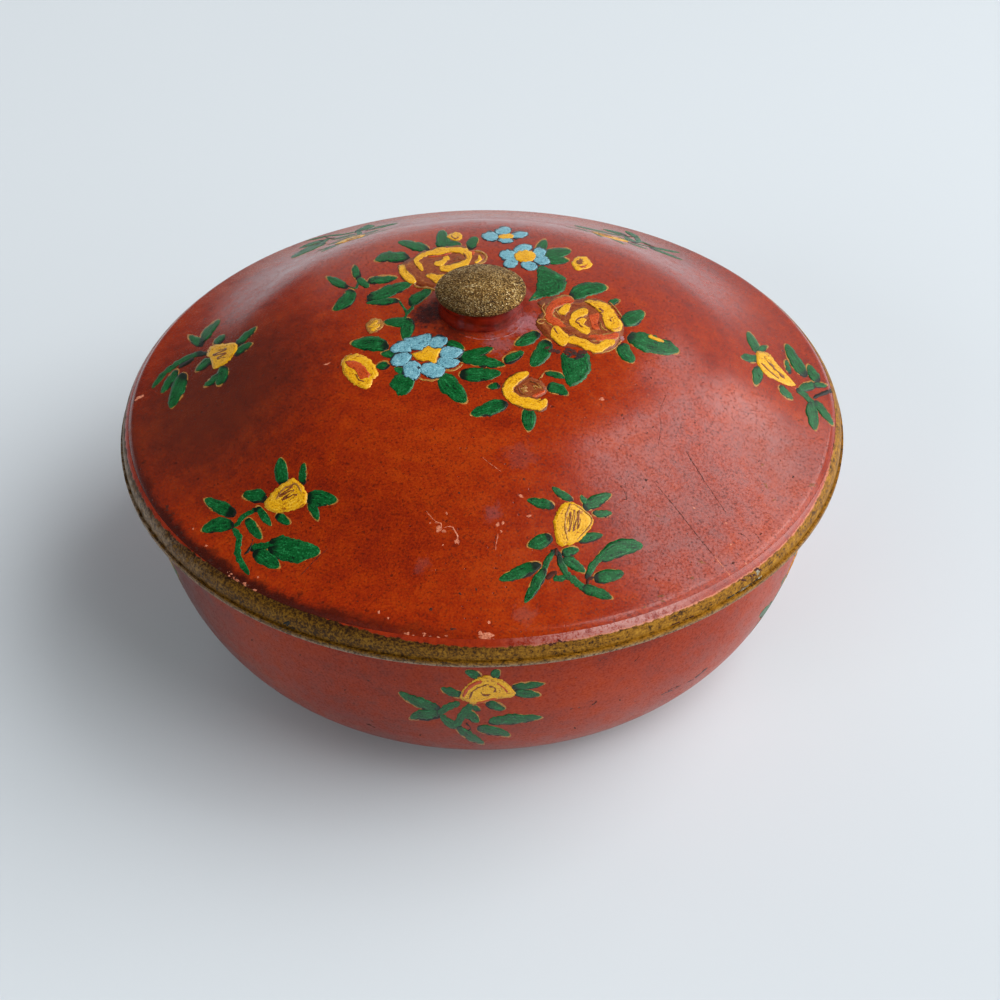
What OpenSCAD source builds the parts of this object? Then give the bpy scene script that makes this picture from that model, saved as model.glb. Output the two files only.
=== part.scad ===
// Painted tin box: a low round bowl with a slip-over domed lid, a gilded rim and a button knob.
// Millimetres. The origin is the middle of the base on the table, and +Z is up.
// Each sheet piece is one bent line, the middle of its sheet, given a thickness and spun round Z.

/* [Sheet] */
// Thickness of the painted tin sheet
sheet_t = 0.6; // [0.5:0.05:0.7]

/* [Bowl] */
// Outside diameter of the flat ring that the bowl stands on
base_d = 120; // [100:2:130]
// Width of that ring
foot_w = 6; // [4:0.5:10]
// How far the middle of the base is pressed up
kick_h = 2; // [0.5:0.5:4]
// Diameter of the wire in the rolled mouth
mouth_wire_d = 2.4; // [1.8:0.1:2.6]
// Outside diameter of the rolled mouth
mouth_d = 209.8; // [207:0.2:209.8]

/* [Lid] */
// Outside diameter of the lid over its hem
lid_d = 216; // [216:0.2:220]
// Height of the lid's lower edge above the table
rim_z = 65; // [60:1:75]
// Height of the lid's crown above its lower edge
crown_h = 38.2; // [36:0.2:42]
// Radius of the ring where the flank is steepest
flank_r = 73.4; // [70:0.2:76]
// Height of that ring above the lid's lower edge
flank_h = 23.9; // [22:0.1:25]
// Fall of the flank there, per millimetre outwards
flank_fall = 0.62; // [0.55:0.01:0.68]
// Fall of the brim, per millimetre outwards
brim_fall = 0.33; // [0.28:0.01:0.4]

/* [Rim hoop] */
// Radius of the hoop's rounded face, in section
hoop_round = 9; // [8.5:0.1:9.5]
// Height of the hem at the hoop's lower edge
hem_h = 1.9; // [1.6:0.1:2.2]

/* [Knob] */
// Diameter of the gilded cap
cap_d = 26.2; // [25:0.2:30]
// Height of the cap from its flat underside to its top
cap_h = 3.4; // [3.2:0.1:4.5]
// Diameter of the neck at its foot
neck_d = 24.8; // [22:0.2:24.8]
// Height of the neck
neck_h = 5.4; // [4.5:0.1:8]

/* [Fixing] */
// Diameter of the screw's shank
screw_d = 4; // [3.5:0.1:4.5]
// Diameter of the washer inside the lid
washer_d = 14; // [11:0.5:18]

/* [Hidden] */

// Colours
tin_red = [0.62, 0.16, 0.08];
gilt = [0.62, 0.45, 0.16];
bare_tin = [0.55, 0.55, 0.53];

// Smoothness of round things, and steps along each bent stretch of a section
spin_fn = 180;
hole_fn = 48;
curve_steps = 22;
bend_steps = 8;
curl_steps = 20;

// Clearances: a soldered lap, a wire in its roll, a shank in its hole and in its thread
lap_gap = 0.02;
wire_gap = 0.05;
shank_gap = 0.1;
thread_gap = 0.02;

// How far a cutting solid runs past the face that it cuts
cut_past = 1;

// Bowl: the roll at the mouth, whose outer side seats in the lid's turned-down edge
roll_up = 5.65;
roll_r = mouth_wire_d / 2 + sheet_t / 2;
roll_c = [mouth_d / 2 - roll_r - sheet_t / 2, rim_z + roll_up];
roll_start_a = 180;
roll_end_a = -120;

// Bowl: the wall swells from a flat foot, eased at its two edges, to an upright mouth
foot_r = base_d / 2;
foot_z = sheet_t / 2;
foot_edge = 1;
kick_w = 8;
foot_reach = 15;
belly_out = 1.5;
belly_z = 6;
wall_top = [roll_c.x - roll_r, roll_c.y];
wall_curve = [
    [foot_r, foot_z],
    [foot_r + foot_reach, foot_z],
    [wall_top.x + belly_out, foot_z + belly_z],
    wall_top
];

// Lid rim: the hoop's rounded face, and the dome's edge lapped inside it
hem_gap = 0.1;
hem_bend = (sheet_t + hem_gap) / 2;
hoop_r = lid_d / 2 - sheet_t / 2 - 2 * hem_bend;
hoop_upright = 2.5;
hem_c = [hoop_r + hem_bend, rim_z + sheet_t / 2 + hem_bend];
face_c = [hoop_r - hoop_round, rim_z + hoop_upright];
hoop_top_a = 36;
lap_r = hoop_round - sheet_t - lap_gap;
lap_top_a = 45;
lap_end_a = 8;

// Lid: a small bend joins the sloping brim to the lapped edge
brim_bend = 3;
brim_a = 90 - atan(brim_fall);
bend_c = face_c + (lap_r - brim_bend) * [cos(lap_top_a), sin(lap_top_a)];
brim_end = bend_c + brim_bend * [cos(brim_a), sin(brim_a)];

// Lid: two curves meet where the flank is steepest, and each end's slope is felt this far along
crown_reach = 38;
shoulder_reach = 16;
flank_reach = 10;
brim_reach = 12;
crown_z = rim_z + crown_h - sheet_t / 2;
flank = [flank_r, rim_z + flank_h - sheet_t / 2];
crown_curve = [
    [0, crown_z],
    [crown_reach, crown_z],
    flank + shoulder_reach * [-1, flank_fall],
    flank
];
brim_curve = [
    flank,
    flank + flank_reach * [1, -flank_fall],
    brim_end + brim_reach * [-1, brim_fall],
    brim_end
];

// Lid: a flat seat for the knob is pressed up in the middle, and slopes down to the crown's curve
seat_r = 13.6;
seat_rise = 0.2;
seat_z = crown_z + seat_rise;
seat_slope_end = 0.17;
hole_r = screw_d / 2 + shank_gap;

// Knob: neck with a hollow waist, and a button cap
neck_z = seat_z + sheet_t / 2;
neck_top_in = 1;
neck_waist = 0.3;
cap_z = neck_z + neck_h;
cap_top = [0, cap_z + cap_h];
cap_edge = 0.8;
cap_edge_low_a = -60;
cap_edge_top_a = 75;
cap_edge_c = [cap_d / 2 - cap_edge, cap_z + cap_h / 2 - cap_edge];
cap_dome_reach = 5;
cap_hole_h = 2.2;

// Fixing inside the lid
washer_t = 1;
washer_z = seat_z - sheet_t / 2 - washer_t;
head_r = screw_d;
head_h = 0.6 * screw_d;
head_step_a = 15;
slot_w = 0.9;
slot_h = 1.1;
shank_top = cap_z + cap_hole_h - 2 * shank_gap;

// Points on an arc in the section plane
function arc(c, r, a0, a1, n) =
    [for (i = [0:n]) let (a = a0 + (a1 - a0) * i / n) c + r * [cos(a), sin(a)]];

// Points on a cubic curve with four control points, from parameter t0 to 1
function curve(p, n, t0 = 0) =
    [for (i = [0:n])
        let (t = t0 + (1 - t0) * i / n, s = 1 - t)
        s * s * s * p[0] + 3 * s * s * t * p[1] + 3 * s * t * t * p[2] + t * t * t * p[3]];

// Soft step from a to b
function soft_step(a, b, n) =
    [for (i = [0:n])
        let (x = i / n, y = x * x * (3 - 2 * x))
        [a.x + (b.x - a.x) * x, a.y + (b.y - a.y) * y]];

// A list without its first point, to follow a list that ends there
function after_first(list) = [for (i = [1:len(list) - 1]) list[i]];

// Unit vector across a line at point i
function across(path, i) =
    let (d = path[min(i + 1, len(path) - 1)] - path[max(i - 1, 0)])
    [-d.y, d.x] / norm(d);

// Outline of a sheet of thickness t that follows a line
function sheet(path, t) =
    let (n = len(path) - 1)
    concat(
        [for (i = [0:n]) path[i] + across(path, i) * t / 2],
        [for (i = [n:-1:0]) path[i] - across(path, i) * t / 2]
    );

// Base, foot, wall and rolled mouth of the bowl, from the middle outwards
bowl_line = concat(
    [[0, foot_z + kick_h]],
    soft_step([foot_r - foot_w - kick_w, foot_z + kick_h], [foot_r - foot_w, foot_z], bend_steps),
    [[foot_r - foot_w + foot_edge, foot_z], [foot_r - foot_edge, foot_z]],
    curve(wall_curve, curve_steps),
    after_first(arc(roll_c, roll_r, roll_start_a, roll_end_a, curl_steps))
);

// Seat, crown, flank, brim and lapped edge of the lid, from the hole outwards
crown_line = curve(crown_curve, curve_steps, seat_slope_end);
dome_line = concat(
    [[hole_r, seat_z]],
    soft_step([seat_r, seat_z], crown_line[0], bend_steps),
    after_first(crown_line),
    after_first(curve(brim_curve, curve_steps)),
    after_first(arc(bend_c, brim_bend, brim_a, lap_top_a, bend_steps)),
    after_first(arc(face_c, lap_r, lap_top_a, lap_end_a, bend_steps))
);

// Rounded face and hem of the gilded hoop, from its top edge down
hoop_line = concat(
    arc(face_c, hoop_round, hoop_top_a, 0, bend_steps),
    arc(hem_c, hem_bend, 180, 360, bend_steps),
    [[hem_c.x + hem_bend, rim_z + hem_h]]
);

// Spins a sheet's outline round Z
module spun(path) {
    rotate_extrude($fn = spin_fn) polygon(sheet(path, sheet_t));
}

module bowl_shell() {
    color(tin_red) spun(bowl_line);
}

module bowl_rim_wire() {
    color(bare_tin)
        rotate_extrude($fn = spin_fn)
            translate(roll_c) circle(d = mouth_wire_d - 2 * wire_gap, $fn = hole_fn);
}

module lid_dome() {
    color(tin_red) spun(dome_line);
}

module lid_rim_hoop() {
    color(gilt) spun(hoop_line);
}

// Turned neck, bored for the screw
module knob_neck() {
    foot_of_neck = [neck_d / 2, neck_z];
    head_of_neck = [cap_d / 2 - neck_top_in, cap_z];
    waist = (foot_of_neck + head_of_neck) / 2 - [neck_waist / 0.75, 0];
    side = curve([foot_of_neck, waist, waist, head_of_neck], bend_steps);
    color(tin_red)
        rotate_extrude($fn = spin_fn)
            polygon(concat([[hole_r, neck_z]], side, [[hole_r, cap_z]]));
}

// Button with a rounded edge and a low dome, tapped from below for the screw
module knob_cap() {
    dome_start = cap_edge_c + cap_edge * [cos(cap_edge_top_a), sin(cap_edge_top_a)];
    dome_curve = [
        dome_start,
        dome_start + cap_dome_reach * [-sin(cap_edge_top_a), cos(cap_edge_top_a)],
        cap_top + [cap_dome_reach, 0],
        cap_top
    ];
    outline = concat(
        [[0, cap_z], [cap_edge_c.x, cap_z]],
        arc([cap_edge_c.x, cap_z + cap_edge], cap_edge, cap_edge_low_a, 0, bend_steps),
        arc(cap_edge_c, cap_edge, 0, cap_edge_top_a, bend_steps),
        after_first(curve(dome_curve, bend_steps))
    );
    color(gilt)
        difference() {
            rotate_extrude($fn = spin_fn) polygon(outline);
            translate([0, 0, cap_z - cut_past])
                cylinder(r = screw_d / 2 + thread_gap, h = cap_hole_h + cut_past, $fn = hole_fn);
        }
}

// Round-headed slotted screw, head down inside the lid
module knob_screw() {
    shank = [[0, shank_top], [screw_d / 2, shank_top], [screw_d / 2, washer_z]];
    head = [for (a = [0:head_step_a:90]) [head_r * cos(a), washer_z - head_h * sin(a)]];
    color(bare_tin)
        difference() {
            rotate_extrude($fn = spin_fn) polygon(concat(shank, head));
            translate([-head_r, -slot_w / 2, washer_z - head_h - cut_past])
                cube([2 * head_r, slot_w, slot_h + cut_past]);
        }
}

module knob_washer() {
    color(bare_tin)
        translate([0, 0, washer_z])
            difference() {
                cylinder(d = washer_d, h = washer_t, $fn = spin_fn);
                translate([0, 0, -cut_past])
                    cylinder(r = hole_r, h = washer_t + 2 * cut_past, $fn = hole_fn);
            }
}

bowl_shell();
bowl_rim_wire();
lid_dome();
lid_rim_hoop();
knob_neck();
knob_cap();
knob_screw();
knob_washer();
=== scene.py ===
"""Looks of the painted tin box: red bowl and lid, gilded rim, glittering knob and brushed flowers.

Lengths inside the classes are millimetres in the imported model's frame: +Z is up and the front faces -Y.
A pixel is a place in the 1000 x 1000 photograph, read off it. It is cast through the photograph's camera
onto the lid or the bowl, so that each brush stroke lies on the paint under it, seen from any side.
"""

import logging
import math
from abc import ABC, abstractmethod
from bisect import bisect_right
from dataclasses import dataclass
from enum import Enum
from functools import cache, cached_property
from typing import Iterator, NamedTuple, Sequence

import bmesh
import bpy
from mathutils import Matrix, Vector, noise


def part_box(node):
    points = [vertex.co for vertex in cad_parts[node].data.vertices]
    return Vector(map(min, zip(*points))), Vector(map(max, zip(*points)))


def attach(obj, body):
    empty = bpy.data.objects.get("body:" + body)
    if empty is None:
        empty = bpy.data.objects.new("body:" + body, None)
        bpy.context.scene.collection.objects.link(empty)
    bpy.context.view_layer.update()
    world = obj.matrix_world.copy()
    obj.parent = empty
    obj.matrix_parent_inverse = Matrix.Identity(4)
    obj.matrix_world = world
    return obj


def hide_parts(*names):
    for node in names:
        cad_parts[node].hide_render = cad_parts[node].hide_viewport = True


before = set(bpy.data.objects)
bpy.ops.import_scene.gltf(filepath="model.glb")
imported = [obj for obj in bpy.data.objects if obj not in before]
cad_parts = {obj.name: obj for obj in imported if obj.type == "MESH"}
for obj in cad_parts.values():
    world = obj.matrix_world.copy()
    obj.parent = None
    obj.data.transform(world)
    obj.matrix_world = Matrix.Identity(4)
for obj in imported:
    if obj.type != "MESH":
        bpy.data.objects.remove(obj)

LOG = logging.getLogger("painted_box")

MM = 0.001
WELD = 1e-6
SPIN_STEPS = 240
CURVE_STEPS = 36
BEND_STEPS = 10
ROLL_STEPS = 24
PETAL_CORNERS = 8
SHARP_ANGLE = math.radians(40.0)
FEATHER_SHARE = 0.92
LEAF_LEAN = 0.8
LEAF_BLUNT = 0.6
LINE_BLUNT = 2.6
HALO_SEED = 9
INK_SEED = 5
INSIDE = "inside"
BRUSH_UV = "brush"
SHADE = "shade"

Line = list[Vector]
Colour = tuple[float, float, float]
Stop = tuple[float, Colour]
Socket = bpy.types.NodeSocket
Node = bpy.types.Node
Material = bpy.types.Material
BMesh = bmesh.types.BMesh


class Body(Enum):
    """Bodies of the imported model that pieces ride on."""

    BOWL = "bowl"
    LID = "lid"


class Slot(Enum):
    """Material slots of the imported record."""

    RED = "red_paint"
    BAND = "gilt_band"
    CAP = "gilt_cap"
    NECK = "neck_paint"


class Px(NamedTuple):
    """A place in the photograph, in pixels from its upper left corner."""

    x: float
    y: float


class Lobe(NamedTuple):
    """A stretch round the box, in degrees, where something swells up and fades again."""

    azimuth: float
    reach: float
    amount: float


Lobes = tuple[Lobe, ...]


class ColourPatch(NamedTuple):
    """A soft patch in the paint, seen from above: its middle and reach in millimetres, strength and colour.
    Patches serve as stains, painted shade and painted reflections.
    """

    x: float
    y: float
    reach: float
    share: float
    colour: Colour


def srgb(red: int, green: int, blue: int) -> Colour:
    """Linear colour of display values from 0 to 255.

    Args:
        red: Red on the display.
        green: Green on the display.
        blue: Blue on the display.

    Returns:
        The three linear values that a shader takes.
    """
    def linear(value: int) -> float:
        """Linear share of one display value."""
        share = value / 255
        return share / 12.92 if share <= 0.04045 else ((share + 0.055) / 1.055) ** 2.4

    return linear(red), linear(green), linear(blue)


def mix(start: float | Vector, end: float | Vector, share: float) -> float | Vector:
    """Value or point that lies a share of the way from start to end."""
    return start + (end - start) * share


# Section lines


def arc(centre: Vector, radius: float, start: float, end: float, steps: int = BEND_STEPS) -> Line:
    """Points on an arc in the section plane, from a start angle to an end angle in degrees."""
    angles = (math.radians(mix(start, end, i / steps)) for i in range(steps + 1))
    return [centre + radius * Vector((math.cos(a), math.sin(a))) for a in angles]


def bezier(controls: Sequence[Vector], start: float = 0.0) -> Line:
    """Points on a cubic curve.

    Args:
        controls: The four control points.
        start: Parameter of the first point.

    Returns:
        The points from start to the curve's end.
    """
    a, b, c, d = controls
    line = []
    for i in range(CURVE_STEPS + 1):
        t = mix(start, 1.0, i / CURVE_STEPS)
        s = 1 - t
        line.append(s * s * s * a + 3 * s * s * t * b + 3 * s * t * t * c + t * t * t * d)
    return line


def soft_step(start: Vector, end: Vector) -> Line:
    """Points of a step from start to end that leaves and arrives level."""
    shares = (i / BEND_STEPS for i in range(BEND_STEPS + 1))
    return [Vector((mix(start.x, end.x, s), mix(start.y, end.y, s * s * (3 - 2 * s)))) for s in shares]


def joined(*parts: Line) -> Line:
    """One line of several parts, without the points where two parts meet twice.

    Args:
        parts: The parts in order.

    Returns:
        The whole line.
    """
    line: Line = []
    for point in (p for part in parts for p in part):
        if not line or (point - line[-1]).length > WELD:
            line.append(point)
    return line


def sides(line: Line, thickness: float) -> tuple[Line, Line]:
    """Both faces of a sheet whose middle follows a line.

    Args:
        line: Middle of the sheet, from the axis outwards.
        thickness: Thickness of the sheet.

    Returns:
        The line on the left of the way along it, and the line on its right.
    """
    left, right = [], []
    for i, point in enumerate(line):
        way = line[min(i + 1, len(line) - 1)] - line[max(i - 1, 0)]
        across = Vector((-way.y, way.x)).normalized() * thickness / 2
        left.append(point + across)
        right.append(point - across)
    return left, right


# Meshes


def spun(outline: Line, inside: Sequence[bool] = ()) -> BMesh:
    """Spins an outline round Z into a closed mesh.

    Args:
        outline: Points of the outline. It is a loop, unless it starts on the axis and so ends there too.
        inside: Whether each point lies on the inside of the box, which the faces there remember.

    Returns:
        The mesh, in metres, with its faces outwards.
    """
    bm = bmesh.new()
    mark = bm.verts.layers.int.new(INSIDE)
    verts = [bm.verts.new((p.x * MM, 0.0, p.y * MM)) for p in outline]
    for vert, hidden in zip(verts, inside):
        vert[mark] = int(hidden)
    edges = [bm.edges.new(pair) for pair in zip(verts, verts[1:])]
    if outline[0].x > WELD:
        edges.append(bm.edges.new((verts[-1], verts[0])))
    bmesh.ops.spin(bm, geom=verts + edges, cent=(0, 0, 0), axis=(0, 0, 1), angle=math.tau,
                   steps=SPIN_STEPS, use_merge=True)
    bmesh.ops.remove_doubles(bm, verts=bm.verts, dist=WELD)
    bmesh.ops.recalc_face_normals(bm, faces=bm.faces)
    for face in bm.faces:
        face.material_index = int(all(vert[mark] for vert in face.verts))
    return bm


def spun_sheet(line: Line, thickness: float, left_is_inside: bool, feather: int = 0) -> BMesh:
    """Spins a sheet whose inside takes the second material.

    Args:
        line: Middle of the sheet, from the axis outwards.
        thickness: Thickness of the sheet.
        left_is_inside: Whether the face on the left of the way along the line is inside the box.
        feather: Number of points at the line's start over which the left face thins out.

    Returns:
        The mesh, in metres.
    """
    left, right = sides(line, thickness)
    for i in range(feather):
        left[i] = left[i].lerp(right[i], FEATHER_SHARE * ((feather - i) / feather) ** 2)
    hidden = [left_is_inside] * len(left) + [not left_is_inside] * len(right)
    return spun(left + right[::-1], hidden)


def add_piece(bm: BMesh, name: str, body: Body, *finishes: Material) -> bpy.types.Object:
    """Makes a finished mesh a piece that rides on a body.

    Args:
        bm: The mesh, which is used up.
        name: Name of the piece.
        body: Body that it rides on.
        finishes: Its materials, in the order of their slots.

    Returns:
        The piece.
    """
    for face in bm.faces:
        face.smooth = True
    for edge in bm.edges:
        edge.smooth = not edge.is_manifold or edge.calc_face_angle() < SHARP_ANGLE
    mesh = bpy.data.meshes.new(name)
    bm.to_mesh(mesh)
    bm.free()
    for finish in finishes:
        mesh.materials.append(finish)
    piece = bpy.data.objects.new(name, mesh)
    bpy.context.scene.collection.objects.link(piece)
    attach(piece, body.value)
    LOG.info("%s: %d faces, rides on %s", name, len(mesh.polygons), body.value)
    return piece


# Finishes


class Shader:
    """Writes the nodes of one material."""

    def __init__(self, name: str) -> None:
        """Starts a material with a Principled shader and the piece's own coordinates."""
        self.material = bpy.data.materials.new(name)
        self.material.use_nodes = True
        self.tree = self.material.node_tree
        self.surface = next(n for n in self.tree.nodes if n.type == "BSDF_PRINCIPLED")
        self.place = self.node("ShaderNodeTexCoord").outputs["Object"]

    def node(self, kind: str, **settings: object) -> Node:
        """Adds a node.

        Args:
            kind: Type name of the node.
            settings: Properties to set on it.

        Returns:
            The node.
        """
        made = self.tree.nodes.new(kind)
        for key, value in settings.items():
            setattr(made, key, value)
        return made

    def feed(self, socket: Socket, value: object) -> None:
        """Links an output to a socket, or sets the socket's own value.

        Args:
            socket: Input to feed.
            value: An output, a number, a vector or a colour.
        """
        if isinstance(value, Socket):
            self.tree.links.new(value, socket)
        elif socket.type == "RGBA":
            socket.default_value = (*value, 1.0)
        else:
            socket.default_value = value

    def fill(self, node: Node, **values: object) -> Node:
        """Feeds some of a node's sockets.

        Args:
            node: The node.
            values: Values by the sockets' names, with _ for a space.

        Returns:
            The node.
        """
        for key, value in values.items():
            self.feed(node.inputs[key.replace("_", " ")], value)
        return node

    def set(self, **values: object) -> None:
        """Feeds the shader's own sockets."""
        self.fill(self.surface, **values)

    def joined(self, kind: str, operation: str, *values: object) -> Node:
        """A node that does an operation.

        Args:
            kind: Type name of the node.
            operation: Name of the operation.
            values: Values of its sockets, in order.

        Returns:
            The node.
        """
        made = self.node(kind, operation=operation)
        for socket, value in zip(made.inputs, values):
            self.feed(socket, value)
        return made

    def math(self, operation: str, first: object, second: object) -> Socket:
        """Output of a Math node."""
        return self.joined("ShaderNodeMath", operation, first, second).outputs[0]

    def times(self, first: object, second: object) -> Socket:
        """Product of two values."""
        return self.math("MULTIPLY", first, second)

    def vector(self, operation: str, first: object, second: object = (0.0, 0.0, 0.0)) -> Node:
        """A Vector Math node, whose outputs are Vector and Value."""
        return self.joined("ShaderNodeVectorMath", operation, first, second)

    def noise(self, scale: float, detail: float = 3.0, rough: float = 0.5, at: Socket | None = None) -> Socket:
        """Value of a Noise texture with finer layers, at the piece's own coordinates unless others are given."""
        made = self.fill(self.node("ShaderNodeTexNoise"), Vector=at or self.place, Scale=scale)
        return self.fill(made, Detail=detail, Roughness=rough).outputs[0]

    def total(self, *parts: tuple[Socket | float, float]) -> Socket:
        """Sum of values, each with its weight.

        Args:
            parts: Values and weights.

        Returns:
            The sum.
        """
        whole: object = 0.0
        for value, weight in parts:
            whole = self.math("ADD", whole, self.times(value, weight))
        return whole

    def cells(self, scale: float) -> Node:
        """A Voronoi texture of grains, whose outputs are Distance and Color."""
        return self.fill(self.node("ShaderNodeTexVoronoi"), Vector=self.place, Scale=scale)

    def ramp(self, factor: Socket, *stops: Stop) -> Socket:
        """Colour of a Color Ramp.

        Args:
            factor: Place on the ramp.
            stops: Places and colours.

        Returns:
            The colour.
        """
        made = self.node("ShaderNodeValToRGB")
        elements = made.color_ramp.elements
        while len(elements) < len(stops):
            elements.new(0.5)
        for element, (position, colour) in zip(elements, stops):
            element.position = position
            element.color = (*colour, 1.0)
        self.feed(made.inputs[0], factor)
        return made.outputs[0]

    def span(self, value: Socket, low: float, high: float, start: object = 0.0, end: object = 1.0) -> Socket:
        """Maps a value from low to high softly onto start to end."""
        made = self.node("ShaderNodeMapRange", interpolation_type="SMOOTHSTEP")
        return self.fill(made, Value=value, From_Min=low, From_Max=high, To_Min=start, To_Max=end).outputs[0]

    def blend(self, factor: object, under: object, over: object) -> Socket:
        """Colour of a Mix node.

        Args:
            factor: Share of the upper colour.
            under: Lower colour.
            over: Upper colour.

        Returns:
            The mixed colour.
        """
        made = self.node("ShaderNodeMix", data_type="RGBA")
        inputs = [s for s in made.inputs if s.enabled]
        for socket, value in zip(inputs, (factor, under, over)):
            self.feed(socket, value)
        return next(s for s in made.outputs if s.enabled)

    def ring(self, around: float, across: float, fall: float) -> Socket:
        """Coordinates that run round Z, which stretch a pattern into streaks without a seam.

        Args:
            around: How fast the pattern changes round the box.
            across: How fast it changes along the section, for each metre.
            fall: How the height counts beside the radius: -1 on a lid, 1 on a bowl.

        Returns:
            The coordinates.
        """
        turned = self.vector("MULTIPLY", self.outward(), (around, around, 0.0)).outputs["Vector"]
        along = self.math("ADD", self.radius(), self.times(self.height(), fall))
        lifted = self.node("ShaderNodeCombineXYZ")
        self.fill(lifted, Z=self.times(along, across))
        return self.vector("ADD", turned, lifted.outputs["Vector"]).outputs["Vector"]

    def lobes(self, *stretches: Lobe) -> Socket:
        """Amount that swells and fades round the box.

        Args:
            stretches: Where it swells.

        Returns:
            The sum of the swells.
        """
        way = self.outward()
        swells = []
        for lobe in stretches:
            turn = math.radians(lobe.azimuth)
            near = self.vector("DOT_PRODUCT", way, (math.cos(turn), math.sin(turn), 0.0)).outputs["Value"]
            swells.append((self.span(near, math.cos(math.radians(lobe.reach)), 1.0), lobe.amount))
        return self.total(*swells)

    def flat(self) -> Socket:
        """The piece's own coordinates without their height."""
        return self.vector("MULTIPLY", self.place, (1.0, 1.0, 0.0)).outputs["Vector"]

    def outward(self) -> Socket:
        """Way out from the axis, one unit long."""
        return self.vector("NORMALIZE", self.flat()).outputs["Vector"]

    def radius(self) -> Socket:
        """Distance from the axis, in metres."""
        return self.vector("LENGTH", self.flat()).outputs["Value"]

    def height(self) -> Socket:
        """Height above the table, in metres."""
        return self.fill(self.node("ShaderNodeSeparateXYZ"), Vector=self.place).outputs["Z"]

    def bump(self, height: Socket, depth: float, under: Socket | None = None) -> Socket:
        """Normal of a relief of a depth in millimetres, on another relief where there is one."""
        made = self.fill(self.node("ShaderNodeBump"), Distance=depth * MM, Height=height)
        return (self.fill(made, Normal=under) if under else made).outputs[0]


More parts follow.
